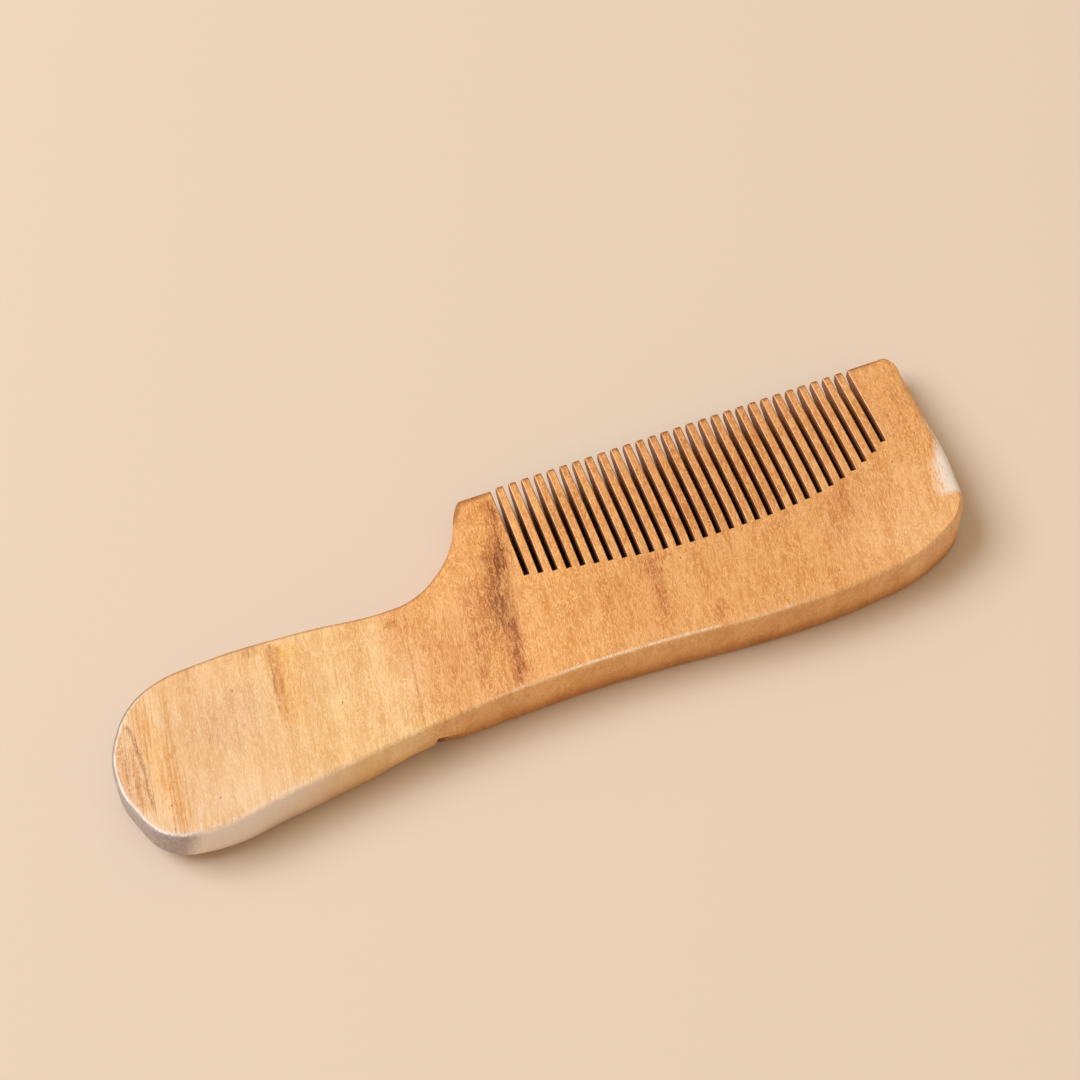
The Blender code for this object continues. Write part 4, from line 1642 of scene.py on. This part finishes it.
    def relief(self, face: WoodFace) -> Socket:
        """Return the surface's direction, with the relief of the grain.

        Args:
            face: The wood.

        Returns:
            The direction.
        """
        recipe, grain = face.recipe, face.grain
        height = recipe.plus(grain["Fibre"], recipe.times(grain["Curl"], self.relief_curl))
        height = recipe.minus(height, recipe.times(grain["Tick"], self.relief_tick))
        height = recipe.minus(height, recipe.times(grain["Pore"], self.relief_pore))
        inputs = {"Strength": self.relief_strength, "Distance": self.relief_depth, "Height": height}
        return recipe.step("ShaderNodeBump", inputs).outputs[0]

    def make(self, name: str) -> bpy.types.Material:
        """Make the material, with a muted tone for the light that one wall throws on another.

        Args:
            name: The material's name.

        Returns:
            The material.
        """
        material = bpy.data.materials.new(name)
        material.use_nodes = True
        recipe = Recipe(material.node_tree)
        face = WoodFace(recipe)
        face.colour = self.slow_tone(face)
        GrainDepths().lay(face)
        self.mark(face)
        nick_x = self.sizes.waist_x / MM
        # These lay wear, and painted light and shade, over the grain.
        for finish in (BackWearAndPaintedLight(), RubbedHeel(), BleachedEnd(), PaintedShadeEdges(nick_x), KerfWalls()):
            finish.lay(face)
        shader = material.node_tree.nodes["Principled BSDF"]
        bounced = recipe.step("ShaderNodeLightPath", {}).outputs["Is Diffuse Ray"]
        face.paint(recipe.times(bounced, self.bounce_share), Tone.AROUND)
        gloss = recipe.swing(face.grain["Fibre"], 0.5, self.fibre_gloss)
        recipe.put(shader.inputs["Base Color"], face.colour)
        recipe.put(shader.inputs["Roughness"], recipe.plus(gloss, self.roughness))
        recipe.put(shader.inputs["Normal"], self.relief(face))
        return material


@dataclass
class Studio:
    """The floor, the lamp, the room's light and the camera."""

    lens: float = 100.0
    sensor: float = 36.0
    camera_reach: tuple = (0.01, 20.0)
    camera_place: tuple = (-97.29 * MM, -258.53 * MM, 507.59 * MM)
    camera_aim: tuple = (6.88 * MM, 15.38 * MM, 0.0)
    floor_size: float = 4.0
    floor_gap: float = 0.02 * MM
    floor_colour: tuple = (0.825, 0.662, 0.518)
    floor_roughness: float = 0.9
    floor_shine: float = 0.1
    lamp_place: tuple = (-1.5, 0.76, 2.0)
    lamp_side: float = 1.7
    lamp_watts: float = 54.5
    lamp_colour: tuple = (0.92, 1.0, 1.13)
    room_level: float = 0.46
    room_colour: tuple = (1.10, 0.94, 0.70)

    def camera(self) -> None:
        """Set up the camera at the photograph's viewing angle."""
        data = bpy.data.cameras.new("camera")
        data.lens = self.lens
        data.sensor_width = self.sensor
        data.clip_start, data.clip_end = self.camera_reach
        camera = Bench.add("camera", data)
        camera.location = self.camera_place
        direction = Vector(self.camera_aim) - Vector(self.camera_place)
        camera.rotation_euler = direction.to_track_quat("-Z", "Y").to_euler()
        bpy.context.scene.camera = camera

    def floor(self) -> None:
        """Lay the plain floor."""
        bpy.ops.mesh.primitive_plane_add(size=self.floor_size)
        floor = bpy.context.view_layer.objects.active
        floor.name = "floor"
        floor.location.z = -self.floor_gap
        material = bpy.data.materials.new("floor_paper")
        material.use_nodes = True
        shader = material.node_tree.nodes["Principled BSDF"]
        shader.inputs["Base Color"].default_value = (*self.floor_colour, 1)
        shader.inputs["Roughness"].default_value = self.floor_roughness
        shader.inputs["Specular IOR Level"].default_value = self.floor_shine
        floor.data.materials.append(material)

    def lamp(self) -> None:
        """Hang the one soft lamp, which points at the comb."""
        data = bpy.data.lights.new("key", "AREA")
        data.shape = "SQUARE"
        data.size = self.lamp_side
        data.energy = self.lamp_watts
        data.color = self.lamp_colour
        lamp = Bench.add("key", data)
        lamp.location = self.lamp_place
        lamp.rotation_euler = (-Vector(self.lamp_place)).to_track_quat("-Z", "Y").to_euler()

    def room(self) -> None:
        """Set the even light of the room."""
        world = bpy.data.worlds.new("room")
        bpy.context.scene.world = world
        world.use_nodes = True
        shade = world.node_tree.nodes["Background"]
        shade.inputs["Color"].default_value = (*self.room_colour, 1)
        shade.inputs["Strength"].default_value = self.room_level

    def build(self) -> None:
        """Set up the whole studio."""
        self.camera()
        self.floor()
        self.lamp()
        self.room()
        bpy.context.scene.view_settings.view_transform = "Standard"


def close_up(piece: Piece) -> None:
    """Merge doubles, turn faces outwards and smooth the shading.

    Args:
        piece: The finished mesh.
    """
    Bench.put_in_order(piece)
    with Bench.editing(piece):
        bpy.ops.mesh.select_all(action="SELECT")
        bpy.ops.mesh.remove_doubles(threshold=MERGE_GAP)
        bpy.ops.mesh.dissolve_degenerate(threshold=SLIVER_SIZE)
        bpy.ops.mesh.select_all(action="SELECT")
        bpy.ops.mesh.quads_convert_to_tris()
        bpy.ops.mesh.normals_make_consistent(inside=False)
    Bench.take(piece)
    bpy.ops.object.shade_smooth_by_angle(angle=SMOOTH_TURN)
    step = piece.modifiers.new("even_shading", "WEIGHTED_NORMAL")
    step.keep_sharp = True
    Bench.apply(piece, step.name)


def main() -> None:
    """Build the comb and its studio, and report each piece."""
    logging.basicConfig(level=logging.INFO, format="%(name)s: %(message)s")
    sizes = CombSizes()
    Studio().build()
    board = CombBoard(sizes)
    comb = board.build("comb_body")
    nick = SawNick(sizes)
    nick.cut(comb)
    KerfSaw(sizes).cut(comb)
    close_up(comb)
    SurfaceMap(sizes, board.outline).write(comb, nick)
    comb.data.materials.clear()
    comb.data.materials.append(PeachWood(sizes).make("peach_wood"))
    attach(comb, "root")
    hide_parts(*sorted(frame["nodes"]))
    log.info("comb: %d faces", len(comb.data.polygons))


if __name__ == "__main__":
    main()
